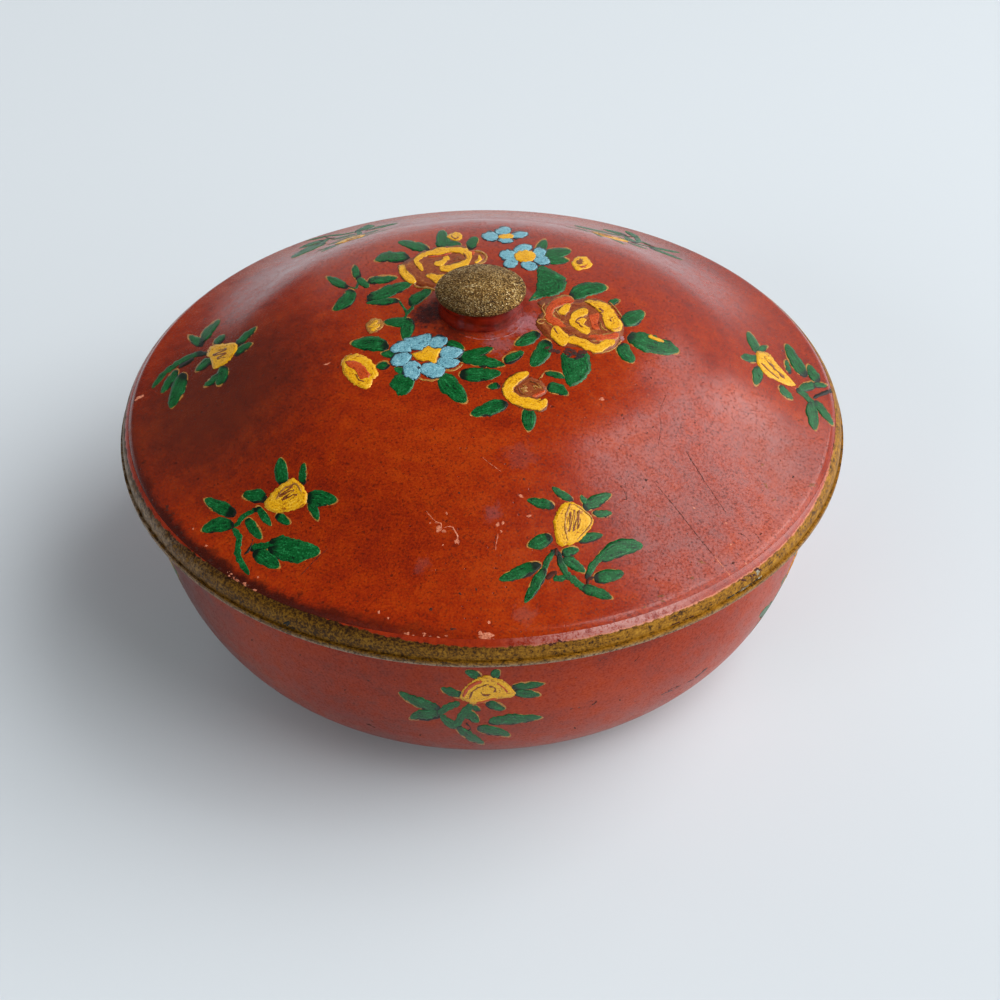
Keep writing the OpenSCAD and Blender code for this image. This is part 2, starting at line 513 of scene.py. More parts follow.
@dataclass(frozen=True)
class RedPaint:
    """Hand-brushed red paint on tin, streaked round the box, mottled and specked with age, with a pale painted
    reflection along the lid's far edge.
    """

    name: str
    deep: Colour
    body: Colour
    bright: Colour
    fall: float
    gloss: float
    rough: float
    gilt_from: float = 0.0
    gilt_laps: Lobes = (Lobe(90.0, 85.0, 2.6),)
    # Darker edge by the rim on the front left: dirt, and painted shade.
    dirt_and_shade_laps: Lobes = (Lobe(-132.0, 44.0, 0.9),)
    # Pale painted reflection along the far edge of the brim, where it turns away.
    far_sheen_laps: Lobes = (Lobe(97.0, 64.0, 0.34),)
    far_sheen: Colour = srgb(170, 142, 130)
    small_patch_reach: float = 12.0
    pitting: float = 0.65
    # Soft patches: stains, painted shade and painted reflections.
    soft_patches: tuple[ColourPatch, ...] = ()
    # Pale grey-gold of the gilding on the brim's edge; its paleness is partly a painted reflection.
    gilt: Colour = srgb(168, 150, 128)
    speck: Colour = srgb(52, 14, 8)
    fleck: Colour = srgb(206, 120, 88)

    def material(self) -> Material:
        """Builds the paint.

        Returns:
            The material.
        """
        s = Shader(self.name)
        streak = s.noise(1.0, 5.0, 0.6, s.ring(2.2, 260.0, self.fall))
        cloud = s.noise(22.0, 3.0, 0.5)
        mottle = s.noise(190.0, 4.0, 0.6)
        grain = s.noise(1700.0, 2.0, 0.6)
        tone = s.total((streak, 0.12), (cloud, 0.3), (mottle, 0.26), (grain, 0.32))
        colour = s.ramp(tone, (0.4, self.deep), (0.5, self.body), (0.6, self.bright))
        colour = self._patched(s, colour, mottle)
        pores = s.noise(1450.0, 3.0, 0.65)
        granules = s.span(pores, 0.5, 0.7, 0.0, self.pitting)
        colour = s.blend(granules, colour, self.speck)
        specks = s.math("MAXIMUM", self._spots(s, 240.0, 0.7, 0.13), self._spots(s, 620.0, 0.72, 0.2))
        flecks = self._spots(s, 150.0, 0.86, 0.09)
        colour = s.blend(s.times(specks, 0.7), colour, self.speck)
        colour = s.blend(s.times(flecks, 0.6), colour, self.fleck)
        rough = s.span(s.total((granules, 0.5), (mottle, 0.6)), 0.2, 0.6, self.rough - 0.06, self.rough + 0.1)
        metal: object = 0.0
        if self.gilt_from:
            # Gilding lapped onto the brim's edge, reaching further in at the back; its pale grey is partly a
            # painted reflection.
            ragged = s.total((s.noise(150.0, 5.0, 0.65), 1.8 * MM), (s.lobes(*self.gilt_laps), MM))
            edge = s.math("ADD", s.radius(), ragged)
            gilded = s.span(edge, (self.gilt_from + 0.8) * MM, (self.gilt_from + 1.1) * MM)
            colour = s.blend(gilded, colour, s.blend(s.span(grain, 0.42, 0.62), self.speck, self.gilt))
            metal = s.times(gilded, 0.25)
            # Pale painted reflection along the brim's far edge.
            far_sheen_mask = s.times(s.span(s.radius(), 88.0 * MM, 96.0 * MM), s.lobes(*self.far_sheen_laps))
            colour = s.blend(s.times(far_sheen_mask, s.span(mottle, 0.2, 0.6)), colour, self.far_sheen)
            # Dark brown next to the gilding on the front left: dirt, and painted shade in the crease by the rim.
            grime_and_shade = s.math("ADD", s.radius(), s.times(s.math("SUBTRACT", mottle, 0.5), 9.0 * MM))
            grime_and_shade = s.span(grime_and_shade, (self.gilt_from - 4.5) * MM, (self.gilt_from - 1.5) * MM)
            colour = s.blend(s.times(grime_and_shade, s.lobes(*self.dirt_and_shade_laps)), colour, self.speck)
        relief = s.bump(s.total((streak, 0.5), (mottle, 0.5)), 0.03)
        relief = s.bump(grain, 0.008, relief)
        relief = s.bump(s.math("SUBTRACT", 1.0, specks), 0.05, relief)
        shine = s.span(s.total((pores, 0.6), (mottle, 0.4)), 0.4, 0.62, 1.15 * self.gloss, 0.55 * self.gloss)
        s.set(Base_Color=colour, Roughness=rough, Metallic=metal, Normal=relief, Specular_IOR_Level=shine)
        return s.material

    def _patched(self, s: Shader, colour: Socket, mottle: Socket) -> Socket:
        """Lays the soft patches over a colour.

        Args:
            s: Shader to write in.
            colour: Colour under the patches.
            mottle: Noise that makes their edges uneven.

        Returns:
            The colour with the patches.
        """
        flat = s.flat()
        fine = s.noise(560.0, 4.0, 0.7)
        # Each patch is a stain, painted shade or a painted reflection, as listed by the piece.
        for stain in self.soft_patches:
            gap = s.vector("DISTANCE", flat, (stain.x * MM, stain.y * MM, 0.0)).outputs["Value"]
            weights = (1.3, 2.2) if stain.reach < self.small_patch_reach else (0.3, 0.4)
            uneven = s.total((mottle, weights[0]), (fine, weights[1]), (1.0, -sum(weights) / 2))
            gap = s.math("ADD", gap, s.times(uneven, stain.reach * MM))
            share = s.span(gap, 0.2 * stain.reach * MM, stain.reach * MM, stain.share, 0.0)
            colour = s.blend(share, colour, stain.colour)
        return colour

    def _spots(self, s: Shader, scale: float, rare: float, size: float) -> Socket:
        """Scattered round spots.

        Args:
            s: Shader to write in.
            scale: Number of cells that may hold a spot in each metre.
            rare: Share of the cells that hold none.
            size: Radius of a spot beside its cell.

        Returns:
            A mask that is 1 in the spots.
        """
        cells = s.cells(scale)
        chosen = s.span(cells.outputs["Color"], rare, min(1.0, rare + 0.1))
        return s.times(chosen, s.span(cells.outputs["Distance"], size * 0.5, size, 1.0, 0.0))


@dataclass(frozen=True)
class GiltBand:
    """Bronze-gold paint on the rim, grainy and dirty with painted shade on its front left, the lid's red over its
    top with a painted sheen and highlight at the front right, and grey tin at its foot.
    """

    name: str
    low_z: float
    top_z: float
    dark: Colour = srgb(46, 28, 6)
    gold: Colour = srgb(132, 86, 10)
    pale: Colour = srgb(178, 128, 36)
    worn: Colour = srgb(150, 134, 116)
    crust: Colour = srgb(40, 16, 8)
    red: Colour = srgb(152, 44, 8)
    red_deep: Colour = srgb(124, 28, 4)
    # Colour of a pale painted sheen on the red over the hoop at the front right.
    painted_sheen: Colour = srgb(176, 124, 116)
    # Colour of a thin painted highlight along the edge of the red.
    seam_highlight: Colour = srgb(214, 138, 96)
    red_laps: Lobes = (Lobe(-66.0, 54.0, 2.1), Lobe(-10.0, 45.0, 0.3), Lobe(190.0, 42.0, 1.3))
    # Where the painted sheen lies.
    painted_sheen_laps: Lobes = (Lobe(-72.0, 17.0, 0.7),)
    # Where the painted highlight lies.
    seam_highlight_laps: Lobes = (Lobe(-48.0, 46.0, 0.6),)
    worn_laps: Lobes = (Lobe(172.0, 62.0, 0.9), Lobe(95.0, 60.0, 0.8))
    # Where the band is darker: dirt, and painted shade on the front left, away from the light.
    dirt_and_shade_laps: Lobes = (Lobe(-142.0, 68.0, 0.9), Lobe(-95.0, 30.0, 0.25))

    def material(self) -> Material:
        """Builds the gilding.

        Returns:
            The material.
        """
        s = Shader(self.name)
        rows = s.noise(1.0, 4.0, 0.7, s.ring(44.0, 1300.0, -1.0))
        grain = s.noise(1500.0, 3.0, 0.7)
        flakes = s.noise(450.0, 4.0, 0.65)
        # Darker band on the front left: dirt, and painted shade.
        dirt_and_shade = s.lobes(*self.dirt_and_shade_laps)
        tone = s.total((rows, 0.28), (grain, 0.42), (flakes, 0.3))
        colour = s.ramp(tone, (0.41, self.dark), (0.48, self.gold), (0.6, self.pale))
        colour = s.blend(s.times(dirt_and_shade, s.span(grain, 0.35, 0.6, 1.0, 0.5)), colour, self.dark)
        low = s.span(s.math("SUBTRACT", s.height(), s.times(flakes, 1.8 * MM)),
                     (self.low_z - 0.6) * MM, (self.low_z + 0.6) * MM, 0.85, 0.0)
        bare = s.math("MAXIMUM", low, s.times(s.lobes(*self.worn_laps), s.span(flakes, 0.4, 0.56)))
        colour = s.blend(bare, colour, s.blend(s.span(grain, 0.36, 0.52), self.crust, self.worn))
        ragged = s.total((s.lobes(*self.red_laps), MM), (flakes, 1.6 * MM))
        line = s.math("ADD", s.math("SUBTRACT", s.height(), (self.top_z + 0.8) * MM), ragged)
        # Dark crust under the red edge, heavier on the front left where the band also takes painted shade.
        crust = s.times(s.span(line, -1.6 * MM, -0.3 * MM), s.span(grain, 0.35, 0.55, 1.0, 0.4))
        colour = s.blend(s.times(crust, s.math("ADD", dirt_and_shade, 0.15)), colour, self.crust)
        red = s.span(line, -0.12 * MM, 0.12 * MM)
        # Pale painted sheen on the red over the hoop at the front right, broken by the flakes.
        sheen_mask = s.times(s.lobes(*self.painted_sheen_laps), s.span(s.total((flakes, 0.5), (grain, 0.5)), 0.4, 0.56))
        over = s.blend(sheen_mask, s.ramp(flakes, (0.35, self.red_deep), (0.62, self.red)), self.painted_sheen)
        colour = s.blend(red, colour, over)
        # Thin painted highlight along the red's edge at the front right.
        seam_highlight = s.times(s.span(line, -0.05 * MM, 0.1 * MM), s.span(line, 0.25 * MM, 0.45 * MM, 1.0, 0.0))
        seam_highlight = s.times(seam_highlight, s.times(s.lobes(*self.seam_highlight_laps), s.span(flakes, 0.36, 0.5)))
        colour = s.blend(seam_highlight, colour, self.seam_highlight)
        rough = s.span(red, 0.0, 1.0, s.span(grain, 0.3, 0.7, 0.44, 0.62), 0.26)
        relief = s.bump(grain, 0.06, s.bump(s.total((rows, 0.5), (flakes, 0.5)), 0.08))
        s.set(Base_Color=colour, Roughness=rough, Metallic=s.span(red, 0.0, 1.0, 0.2, 0.0), Normal=relief,
              Specular_IOR_Level=s.span(red, 0.0, 1.0, 0.22, 0.5))
        return s.material


@dataclass(frozen=True)
class GlitterGilt:
    """Coarse glittering gold powder on the knob's cap."""

    name: str
    dark: Colour = srgb(44, 28, 10)
    bronze: Colour = srgb(118, 80, 24)
    gold: Colour = srgb(186, 150, 82)
    glint: Colour = srgb(250, 228, 176)
    # Where the cap is painted darker, as shade on its front left.
    shade_laps: Lobes = (Lobe(-118.0, 88.0, 0.62),)

    def material(self) -> Material:
        """Builds the gilding.

        Returns:
            The material.
        """
        s = Shader(self.name)
        grains = s.cells(2700.0)
        patches = s.noise(160.0, 3.0, 0.6)
        tone = s.math("ADD", s.times(grains.outputs["Color"], 0.75), s.times(patches, 0.3))
        colour = s.ramp(tone, (0.2, self.dark), (0.48, self.bronze), (0.72, self.gold), (0.9, self.glint))
        # Painted shade over the cap's front left, away from the light.
        painted_shade = s.times(s.span(s.radius(), 3.0 * MM, 11.0 * MM), s.lobes(*self.shade_laps))
        colour = s.blend(painted_shade, colour, self.dark)
        rough = s.span(grains.outputs["Color"], 0.0, 1.0, 0.6, 0.28)
        relief = s.bump(grains.outputs["Distance"], 0.25)
        s.set(Base_Color=colour, Roughness=rough, Metallic=0.7, Normal=relief)
        return s.material


@dataclass(frozen=True)
class NeckPaint:
    """Thick glossy dark red paint on the turned neck."""

    name: str
    deep: Colour = srgb(74, 7, 3)
    body: Colour = srgb(134, 28, 7)

    def material(self) -> Material:
        """Builds the paint.

        Returns:
            The material.
        """
        s = Shader(self.name)
        runs = s.noise(1.0, 4.0, 0.55, s.ring(3.0, 500.0, -1.0))
        grain = s.noise(900.0, 2.0, 0.5)
        colour = s.ramp(runs, (0.3, self.deep), (0.7, self.body))
        s.set(Base_Color=colour, Roughness=s.span(grain, 0.3, 0.7, 0.14, 0.24), Normal=s.bump(runs, 0.03))
        return s.material


@dataclass(frozen=True)
class DullTin:
    """Tarnished tin, dull grey with brown stains."""

    name: str
    tin: Colour = srgb(146, 142, 132)
    dark: Colour = srgb(92, 86, 78)
    stain: Colour = srgb(98, 70, 46)

    def material(self) -> Material:
        """Builds the metal.

        Returns:
            The material.
        """
        s = Shader(self.name)
        clouds = s.noise(42.0, 5.0, 0.6)
        scratches = s.noise(1.0, 5.0, 0.65, s.ring(3.0, 900.0, 1.0))
        soft_patches = s.span(s.noise(70.0, 4.0, 0.65), 0.56, 0.7, 0.0, 0.8)
        colour = s.ramp(clouds, (0.35, self.dark), (0.62, self.tin))
        colour = s.blend(soft_patches, colour, self.stain)
        rough = s.span(clouds, 0.3, 0.7, 0.5, 0.34)
        s.set(Base_Color=colour, Roughness=rough, Metallic=0.8, Normal=s.bump(scratches, 0.04))
        return s.material


@dataclass(frozen=True)
class BrushPaint:
    """Thick paint with the brush's ridges along the stroke, darker where the stroke is shaded."""

    name: str
    body: Colour
    light: Colour
    dark: Colour
    ridge: float = 0.06
    gloss: float = 0.32

    def material(self) -> Material:
        """Builds the paint.

        Returns:
            The material.
        """
        s = Shader(self.name)
        uv = s.node("ShaderNodeUVMap", uv_map=BRUSH_UV).outputs["UV"]
        bristles = s.noise(1.0, 3.0, 0.6, s.vector("MULTIPLY", uv, (0.28, 2.4, 1.0)).outputs["Vector"])
        dabs = s.noise(420.0, 3.0, 0.6)
        stipple = s.noise(2100.0, 2.0, 0.6)
        tone = s.total((bristles, 0.4), (dabs, 0.2), (stipple, 0.4))
        colour = s.ramp(tone, (0.41, self.dark), (0.47, self.body), (0.53, self.body), (0.61, self.light))
        shaded = s.node("ShaderNodeAttribute", attribute_name=SHADE).outputs["Fac"]
        shaded = s.total((shaded, 1.0), (s.math("SUBTRACT", dabs, 0.5), 0.7),
                         (s.math("SUBTRACT", stipple, 0.5), 0.5))
        colour = s.blend(s.span(shaded, 0.34, 0.62), colour, self.dark)
        relief = s.bump(s.total((dabs, 0.5), (stipple, 0.5)), self.ridge * 0.7, s.bump(bristles, self.ridge))
        rough = s.span(dabs, 0.3, 0.7, self.gloss - 0.06, self.gloss + 0.1)
        s.set(Base_Color=colour, Roughness=rough, Normal=relief, Specular_IOR_Level=0.34)
        return s.material


class Paint(Enum):
    """The paints of the flowers, what shows where the red is worn, and a pale painted highlight."""

    OCHRE = BrushPaint("ochre_line", srgb(164, 110, 44), srgb(200, 152, 84), srgb(100, 58, 22))
    GREEN = BrushPaint("leaf_green", srgb(4, 81, 33), srgb(38, 128, 72), srgb(6, 26, 14))
    YELLOW = BrushPaint("petal_yellow", srgb(219, 160, 14), srgb(234, 187, 60), srgb(152, 86, 14), 0.06)
    ORANGE = BrushPaint("petal_orange", srgb(184, 66, 20), srgb(206, 104, 44), srgb(118, 38, 12), 0.08)
    BLUE = BrushPaint("petal_blue", srgb(106, 162, 176), srgb(154, 200, 210), srgb(44, 84, 104), 0.08)
    NAVY = BrushPaint("petal_edge", srgb(34, 44, 52), srgb(70, 90, 100), srgb(16, 18, 20))
    # Pale painted highlight, on the crease round the knob's foot and on the rose's edge.
    PAINTED_HIGHLIGHT = BrushPaint("painted_highlight", srgb(152, 104, 104), srgb(184, 146, 148), srgb(112, 56, 48), 0.02, 0.5)
    BROWN = BrushPaint("inner_brown", srgb(124, 64, 26), srgb(164, 98, 46), srgb(70, 32, 14))
    WASH = BrushPaint("rose_wash", srgb(132, 60, 24), srgb(166, 98, 42), srgb(104, 34, 14))
    SHADE = BrushPaint("leaf_shade", srgb(24, 24, 18), srgb(48, 46, 38), srgb(12, 12, 8), 0.05, 0.5)
    DARK_BROWN = BrushPaint("dark_brown_paint", srgb(66, 24, 14), srgb(92, 40, 26), srgb(40, 14, 8), 0.02, 0.75)
    PRIMER = BrushPaint("bare_primer", srgb(200, 116, 84), srgb(226, 170, 144), srgb(140, 62, 40), 0.03, 0.6)
    SCUFF = BrushPaint("grey_scuff", srgb(76, 54, 56), srgb(116, 92, 94), srgb(40, 26, 28), 0.02, 0.6)
    TIN = BrushPaint("bare_tin_chip", srgb(140, 132, 112), srgb(182, 174, 152), srgb(70, 58, 40), 0.05, 0.5)


# Photograph and painted surfaces


@dataclass(frozen=True)
class PhotoCamera:
    """The photograph's camera, fitted to the lid's rim and the knob."""

    frame_px: float = 1000.0
    focal_px: float = 1811.0
    sensor: float = 36.0
    back: float = 437.14
    above: float = 397.71
    pitch: float = 40.0
    yaw: float = 0.683
    roll: float = -0.3225

    @property
    def place(self) -> Vector:
        """Where the camera stands, in millimetres."""
        return Vector((0.0, -self.back, self.above))

    @cached_property
    def axes(self) -> tuple[Vector, Vector, Vector]:
        """Unit vectors to the right, up and forward in the picture.

        Returns:
            The three vectors.
        """
        pitch, yaw, roll = (math.radians(a) for a in (self.pitch, self.yaw, self.roll))
        forward = Vector((math.sin(yaw) * math.cos(pitch), math.cos(yaw) * math.cos(pitch), -math.sin(pitch)))
        level = Vector((math.cos(yaw), -math.sin(yaw), 0.0))
        upright = level.cross(forward)
        right = level * math.cos(roll) + upright * math.sin(roll)
        up = upright * math.cos(roll) - level * math.sin(roll)
        return right, up, forward

    def ray(self, pixel: Px) -> Vector:
        """Way from the camera through a pixel.

        Args:
            pixel: Place in the photograph.

        Returns:
            A vector that goes one unit forward.
        """
        right, up, forward = self.axes
        middle = self.frame_px / 2
        return forward + right * ((pixel.x - middle) / self.focal_px) - up * ((pixel.y - middle) / self.focal_px)

    def build(self) -> bpy.types.Object:
        """Adds the camera to the scene.

        Returns:
            The camera.
        """
        lens = bpy.data.cameras.new("photo_camera")
        lens.sensor_width = self.sensor
        lens.lens = self.sensor * self.focal_px / self.frame_px
        lens.clip_start = 0.01
        camera = bpy.data.objects.new("photo_camera", lens)
        right, up, forward = self.axes
        turn = Matrix((right, up, -forward)).transposed().to_4x4()
        camera.matrix_world = Matrix.Translation(self.place * MM) @ turn
        bpy.context.scene.collection.objects.link(camera)
        bpy.context.scene.camera = camera
        return camera


class Profile:
    """One side of a spun piece as a curve that is looked up by its rising coordinate."""

    def __init__(self, points: Sequence[tuple[float, float]]) -> None:
        """Keeps the points whose first coordinate rises."""
        rising = [points[0]]
        for point in points[1:]:
            if point[0] > rising[-1][0]:
                rising.append(point)
        self.keys = [p[0] for p in rising]
        self.values = [p[1] for p in rising]
        self.slopes = [(b[1] - a[1]) / (b[0] - a[0]) for a, b in zip(rising, rising[1:])]

    def stretch(self, key: float) -> int:
        """Number of the stretch that a key falls in."""
        return max(0, min(len(self.slopes), bisect_right(self.keys, key)) - 1)

    def slope(self, key: float) -> float:
        """Rise of the curve at a key, for each unit."""
        return self.slopes[self.stretch(key)]

    def at(self, key: float) -> float:
        """Value of the curve at a key."""
        i = self.stretch(key)
        return self.values[i] + self.slopes[i] * (key - self.keys[i])


class Surface(ABC):
    """A painted side of the box that brush strokes lie on."""

    halvings = 18

    def __init__(self, profile: Profile) -> None:
        """Keeps the profile of the spun side."""
        self.profile = profile

    @abstractmethod
    def depth(self, point: Vector) -> float:
        """How far a point stands off the surface, or less than 0 behind it."""

    @abstractmethod
    def reach(self, start: Vector, ray: Vector) -> tuple[float, float]:
        """Steps along a ray that surely lie before and behind the surface."""

    @abstractmethod
    def normal(self, point: Vector) -> Vector:
        """Way off the surface at a point of it."""

    def lowered(self, point: Vector, drop: float) -> Vector:
        """Point of the surface that lies lower, straight below on a bowl."""
        return point

    def cast(self, start: Vector, ray: Vector) -> Vector:
        """Where a ray meets the surface.

        Args:
            start: Where the ray starts.
            ray: Way that it goes.

        Returns:
            The point on the surface.
        """
        near, far = self.reach(start, ray)
        for _ in range(self.halvings):
            middle = (near + far) / 2
            if self.depth(start + ray * middle) > 0:
                near = middle
            else:
                far = middle
        return start + ray * far


class LidSurface(Surface):
    """Upper side of the lid: a height for each radius."""

    top = 105.0
    bottom = 66.0

    def depth(self, point: Vector) -> float:
        """Height of a point above the lid."""
        return point.z - self.profile.at(math.hypot(point.x, point.y))

    def reach(self, start: Vector, ray: Vector) -> tuple[float, float]:
        """Steps to the planes over the crown and under the rim."""
        return (self.top - start.z) / ray.z, (self.bottom - start.z) / ray.z

    def normal(self, point: Vector) -> Vector:
        """Way off the lid at a point of it."""
        radius = max(math.hypot(point.x, point.y), WELD)
        slope = self.profile.slope(radius)
        return Vector((-slope * point.x / radius, -slope * point.y / radius, 1.0)).normalized()


class BowlSurface(Surface):
    """Outer side of the bowl: a radius for each height."""

    clear = 109.0

    def depth(self, point: Vector) -> float:
        """Distance of a point out from the wall."""
        return math.hypot(point.x, point.y) - self.profile.at(point.z)

    def reach(self, start: Vector, ray: Vector) -> tuple[float, float]:
        """Steps to the ring round the box, and to the axis or the foot.

        Args:
            start: Where the ray starts.
            ray: Way that it goes.

        Returns:
            The two steps.
        """
        flat = ray.xy.length_squared
        nearest = -start.xy.dot(ray.xy) / flat
        gap = start.xy + ray.xy * nearest
        first = nearest - math.sqrt(max(0.0, self.clear ** 2 - gap.length_squared) / flat)
        return first, min(nearest, (self.profile.keys[0] - start.z) / ray.z)

    def lowered(self, point: Vector, drop: float) -> Vector:
        """Point of the wall that lies lower, at the same azimuth."""
        low = point.z - drop
        return Vector((*(point.xy.normalized() * self.profile.at(low)), low))

    def normal(self, point: Vector) -> Vector:
        """Way off the wall at a point of it."""
        radius = math.hypot(point.x, point.y)
        return Vector((point.x / radius, point.y / radius, -self.profile.slope(point.z))).normalized()


# Brush strokes


def through(points: Sequence[Px], share: float, closed: bool = False) -> Vector:
    """Point on a smooth curve through a few points.

    Args:
        points: Points that the curve passes.
        share: How far along, from 0 to 1.
        closed: Whether the curve returns to its first point.

    Returns:
        The point.
    """
    last = len(points) if closed else len(points) - 1
    place = min(max(share, 0.0), 1.0) * last
    i = min(int(place), last - 1)
    t = place - i

    def near(k: int) -> Vector:
        """Point k, counted round a loop or held at a line's ends."""
        return Vector(points[k % len(points)] if closed else points[min(max(k, 0), last)])

    a, b, c, d = near(i - 1), near(i), near(i + 1), near(i + 2)
    return 0.5 * (2 * b + (c - a) * t + (2 * a - 5 * b + 4 * c - d) * t * t + (3 * b - a - 3 * c + d) * t ** 3)


class Taper(Enum):
    """How a stroke's width runs from its base to its tip."""

    LEAF = "leaf"
    LINE = "line"

    def share(self, along: float) -> float:
        """Share of the full width.

        Args:
            along: How far along the stroke, from 0 to 1.

        Returns:
            The share, which is 0 at both ends.
        """
        if self is Taper.LEAF:
            return math.sin(math.pi * along ** LEAF_LEAN) ** LEAF_BLUNT if 0 < along < 1 else 0.0
        return min(1.0, LINE_BLUNT * math.sqrt(max(0.0, min(along, 1 - along))))


class Layer(Enum):
    """Heights of a layer of paint over the red, in its middle and at its edge, in millimetres."""

    HALO = (0.02, -0.03)
    INK = (0.03, -0.02)
    LEAF = (0.05, 0.02)
    WASH = (0.066, 0.05)
    EDGE = (0.08, 0.066)
    PETAL = (0.115, 0.085)
    TOUCH = (0.145, 0.12)
    LINE = (0.17, 0.145)


@dataclass(frozen=True)
class Patch(ABC):
    """A thin skin of paint that one stroke leaves, laid out in pixels."""

    paint: Paint
    layer: Layer
    seed: float

    @property
    @abstractmethod
    def grid(self) -> tuple[int, int]:
        """Number of steps along and across the patch."""

    @abstractmethod
    def at(self, along: float, across: float) -> Px:
        """Pixel at a place along, from 0 to 1, and across, from -1 to 1."""

    @abstractmethod
    def edge(self, along: float, across: float) -> float:
        """Nearness to the patch's edge, which is 1."""

    @abstractmethod
    def shade(self, along: float, across: float) -> float:
        """Share of dark paint at a place."""


@dataclass(frozen=True)
class StrokePatch(Patch):
    """The skin of a stroke along a bent line."""

    spine: tuple[Px, ...]
    width: float
    taper: Taper
    dark: float = 0.0
    wobble: float = 0.26
    ragged: float = 1.5
    slow_px: float = 9.0
    fast_px: float = 2.6
    nudge: float = 0.02
    step_px: float = 1.8
    wide_px: float = 4.0

    @cached_property
    def length(self) -> float:
        """Length of the stroke, in pixels."""
        return sum((Vector(b) - Vector(a)).length for a, b in zip(self.spine, self.spine[1:]))

    @property
    def grid(self) -> tuple[int, int]:
        """Steps along and across: more along a longer stroke."""
        return round(min(56, max(10, self.length / self.step_px))), 6 if self.width > self.wide_px else 2

    def _share(self, along: float) -> float:
        """How far along the line a step lies, with finer steps near the ends."""
        return (1 - math.cos(math.pi * along)) / 2

    def at(self, along: float, across: float) -> Px:
        """Pixel beside the stroke's line.

        Args:
            along: How far along, from 0 to 1.
            across: How far across, from -1 to 1.

        Returns:
            The pixel.
        """
        share = self._share(along)
        way = through(self.spine, share + self.nudge) - through(self.spine, share - self.nudge)
        side = Vector((-way.y, way.x)).normalized()
        flank = math.copysign(3.0, across)
        full = self.taper.share(share)
        slow = noise.noise(Vector((share * self.length / self.slow_px, flank, self.seed)))
        fast = noise.noise(Vector((share * self.length / self.fast_px, flank, self.seed)))
        half = full * (self.width / 2 * (1 + self.wobble * slow) + self.ragged * fast)
        return Px(*(through(self.spine, share) + side * across * half))

    def edge(self, along: float, across: float) -> float:
        """Nearness to a side or an end."""
        return max(abs(across), abs(2 * along - 1) ** 8)

    def shade(self, along: float, across: float) -> float:
        """Dark paint round the stroke's base, and in a vein along its middle."""
        share = self._share(along)
        vein = max(0.0, 0.9 - 4 * abs(across - 0.15)) * max(0.0, 1 - 1.3 * share)
        return self.dark * max(vein, 1.2 - 3.0 * share, 0.0)


@dataclass(frozen=True)
class BlobPatch(Patch):
    """The skin of a dab with an outline of its own."""

    outline: tuple[Px, ...]
    grow: float = 0.0
    dark: float = 0.0
    ragged: float = 1.5
    lumps: float = 0.06
    fine_px: float = 2.4
    least_px: float = 3.0
    step_px: float = 1.6

    @cached_property
    def middle(self) -> Vector:
        """Mean of the outline's points."""
        return sum((Vector(p) for p in self.outline), Vector((0.0, 0.0))) / len(self.outline)

    @property
    def grid(self) -> tuple[int, int]:
        """Steps round the dab, and from its middle to its edge."""
        girth = sum((Vector(b) - Vector(a)).length for a, b in zip(self.outline, self.outline[1:]))
        return round(min(90, max(24, girth / self.step_px))), 5

    def at(self, along: float, across: float) -> Px:
        """Pixel between the dab's middle and its outline.

        Args:
            along: How far round, from 0 to 1.
            across: From -1 in the middle to 1 at the outline.

        Returns:
            The pixel.
        """
        arm = through(self.outline, along % 1.0, closed=True) - self.middle
        length = max(arm.length, self.least_px)
        round_way = Vector((math.cos(math.tau * along), math.sin(math.tau * along), self.seed))
        fine = self.ragged * noise.noise(round_way * length / self.fine_px)
        arm *= 1 + (self.grow + fine) / length + self.lumps * noise.noise(round_way * 2)
        return Px(*(self.middle + arm * (across + 1) / 2))

    def edge(self, along: float, across: float) -> float:
        """Nearness to the outline."""
        return (across + 1) / 2

    def shade(self, along: float, across: float) -> float:
        """Dark paint along the outline."""
        return self.dark * max(0.0, across)


class Mark(ABC):
    """Something that the painter put down, which leaves one patch or more."""

    @abstractmethod
    def patches(self, seed: float) -> Iterator[Patch]:
        """The patches from the lowest up."""


Marks = tuple[Mark, ...]


@dataclass(frozen=True)
class Leaf(Mark):
    """A green leaf in one press of the brush, on a thin ochre outline."""

    base: Px
    tip: Px
    width: float
    dark: float = 0.6
    via: Px | None = None
    bow: float = 0.12
    halo: float = 1.0
    slip: float = 0.9
    ink: float = 1.1
    ink_wide: float = 0.4

    def patches(self, seed: float) -> Iterator[Patch]:
        """The outline, the dark side and the leaf.

        Args:
            seed: Number that sets its unevenness.

        Yields:
            The three patches.
        """
        base, tip = Vector(self.base), Vector(self.tip)
        bow = noise.noise(Vector((seed, 0.5, 0.5))) * self.bow
        side = Vector((base.y - tip.y, tip.x - base.x)) * bow
        middle = Vector(self.via) if self.via else (base + tip) / 2 + side
        way = (tip - base).normalized() * self.halo
        slip = Vector((math.cos(seed * 5), math.sin(seed * 5))) * self.slip
        long = tuple(Px(*(point + slip)) for point in (base - way, middle, tip + way))
        spine = (self.base, Px(*middle), self.tip)
        sunk = Vector((0.6 + 0.5 * math.sin(seed * 3), 1.0)) * self.ink
        shadow = tuple(Px(*(point + sunk)) for point in (base - way, middle, mix(base, tip, 0.9)))
        wide = self.width + 2 * self.halo
        yield StrokePatch(Paint.OCHRE, Layer.HALO, seed + HALO_SEED, long, wide, Taper.LEAF)
        yield StrokePatch(Paint.SHADE, Layer.INK, seed + INK_SEED, shadow, self.width + self.ink_wide, Taper.LEAF)
        yield StrokePatch(Paint.GREEN, Layer.LEAF, seed, spine, self.width, Taper.LEAF, self.dark)


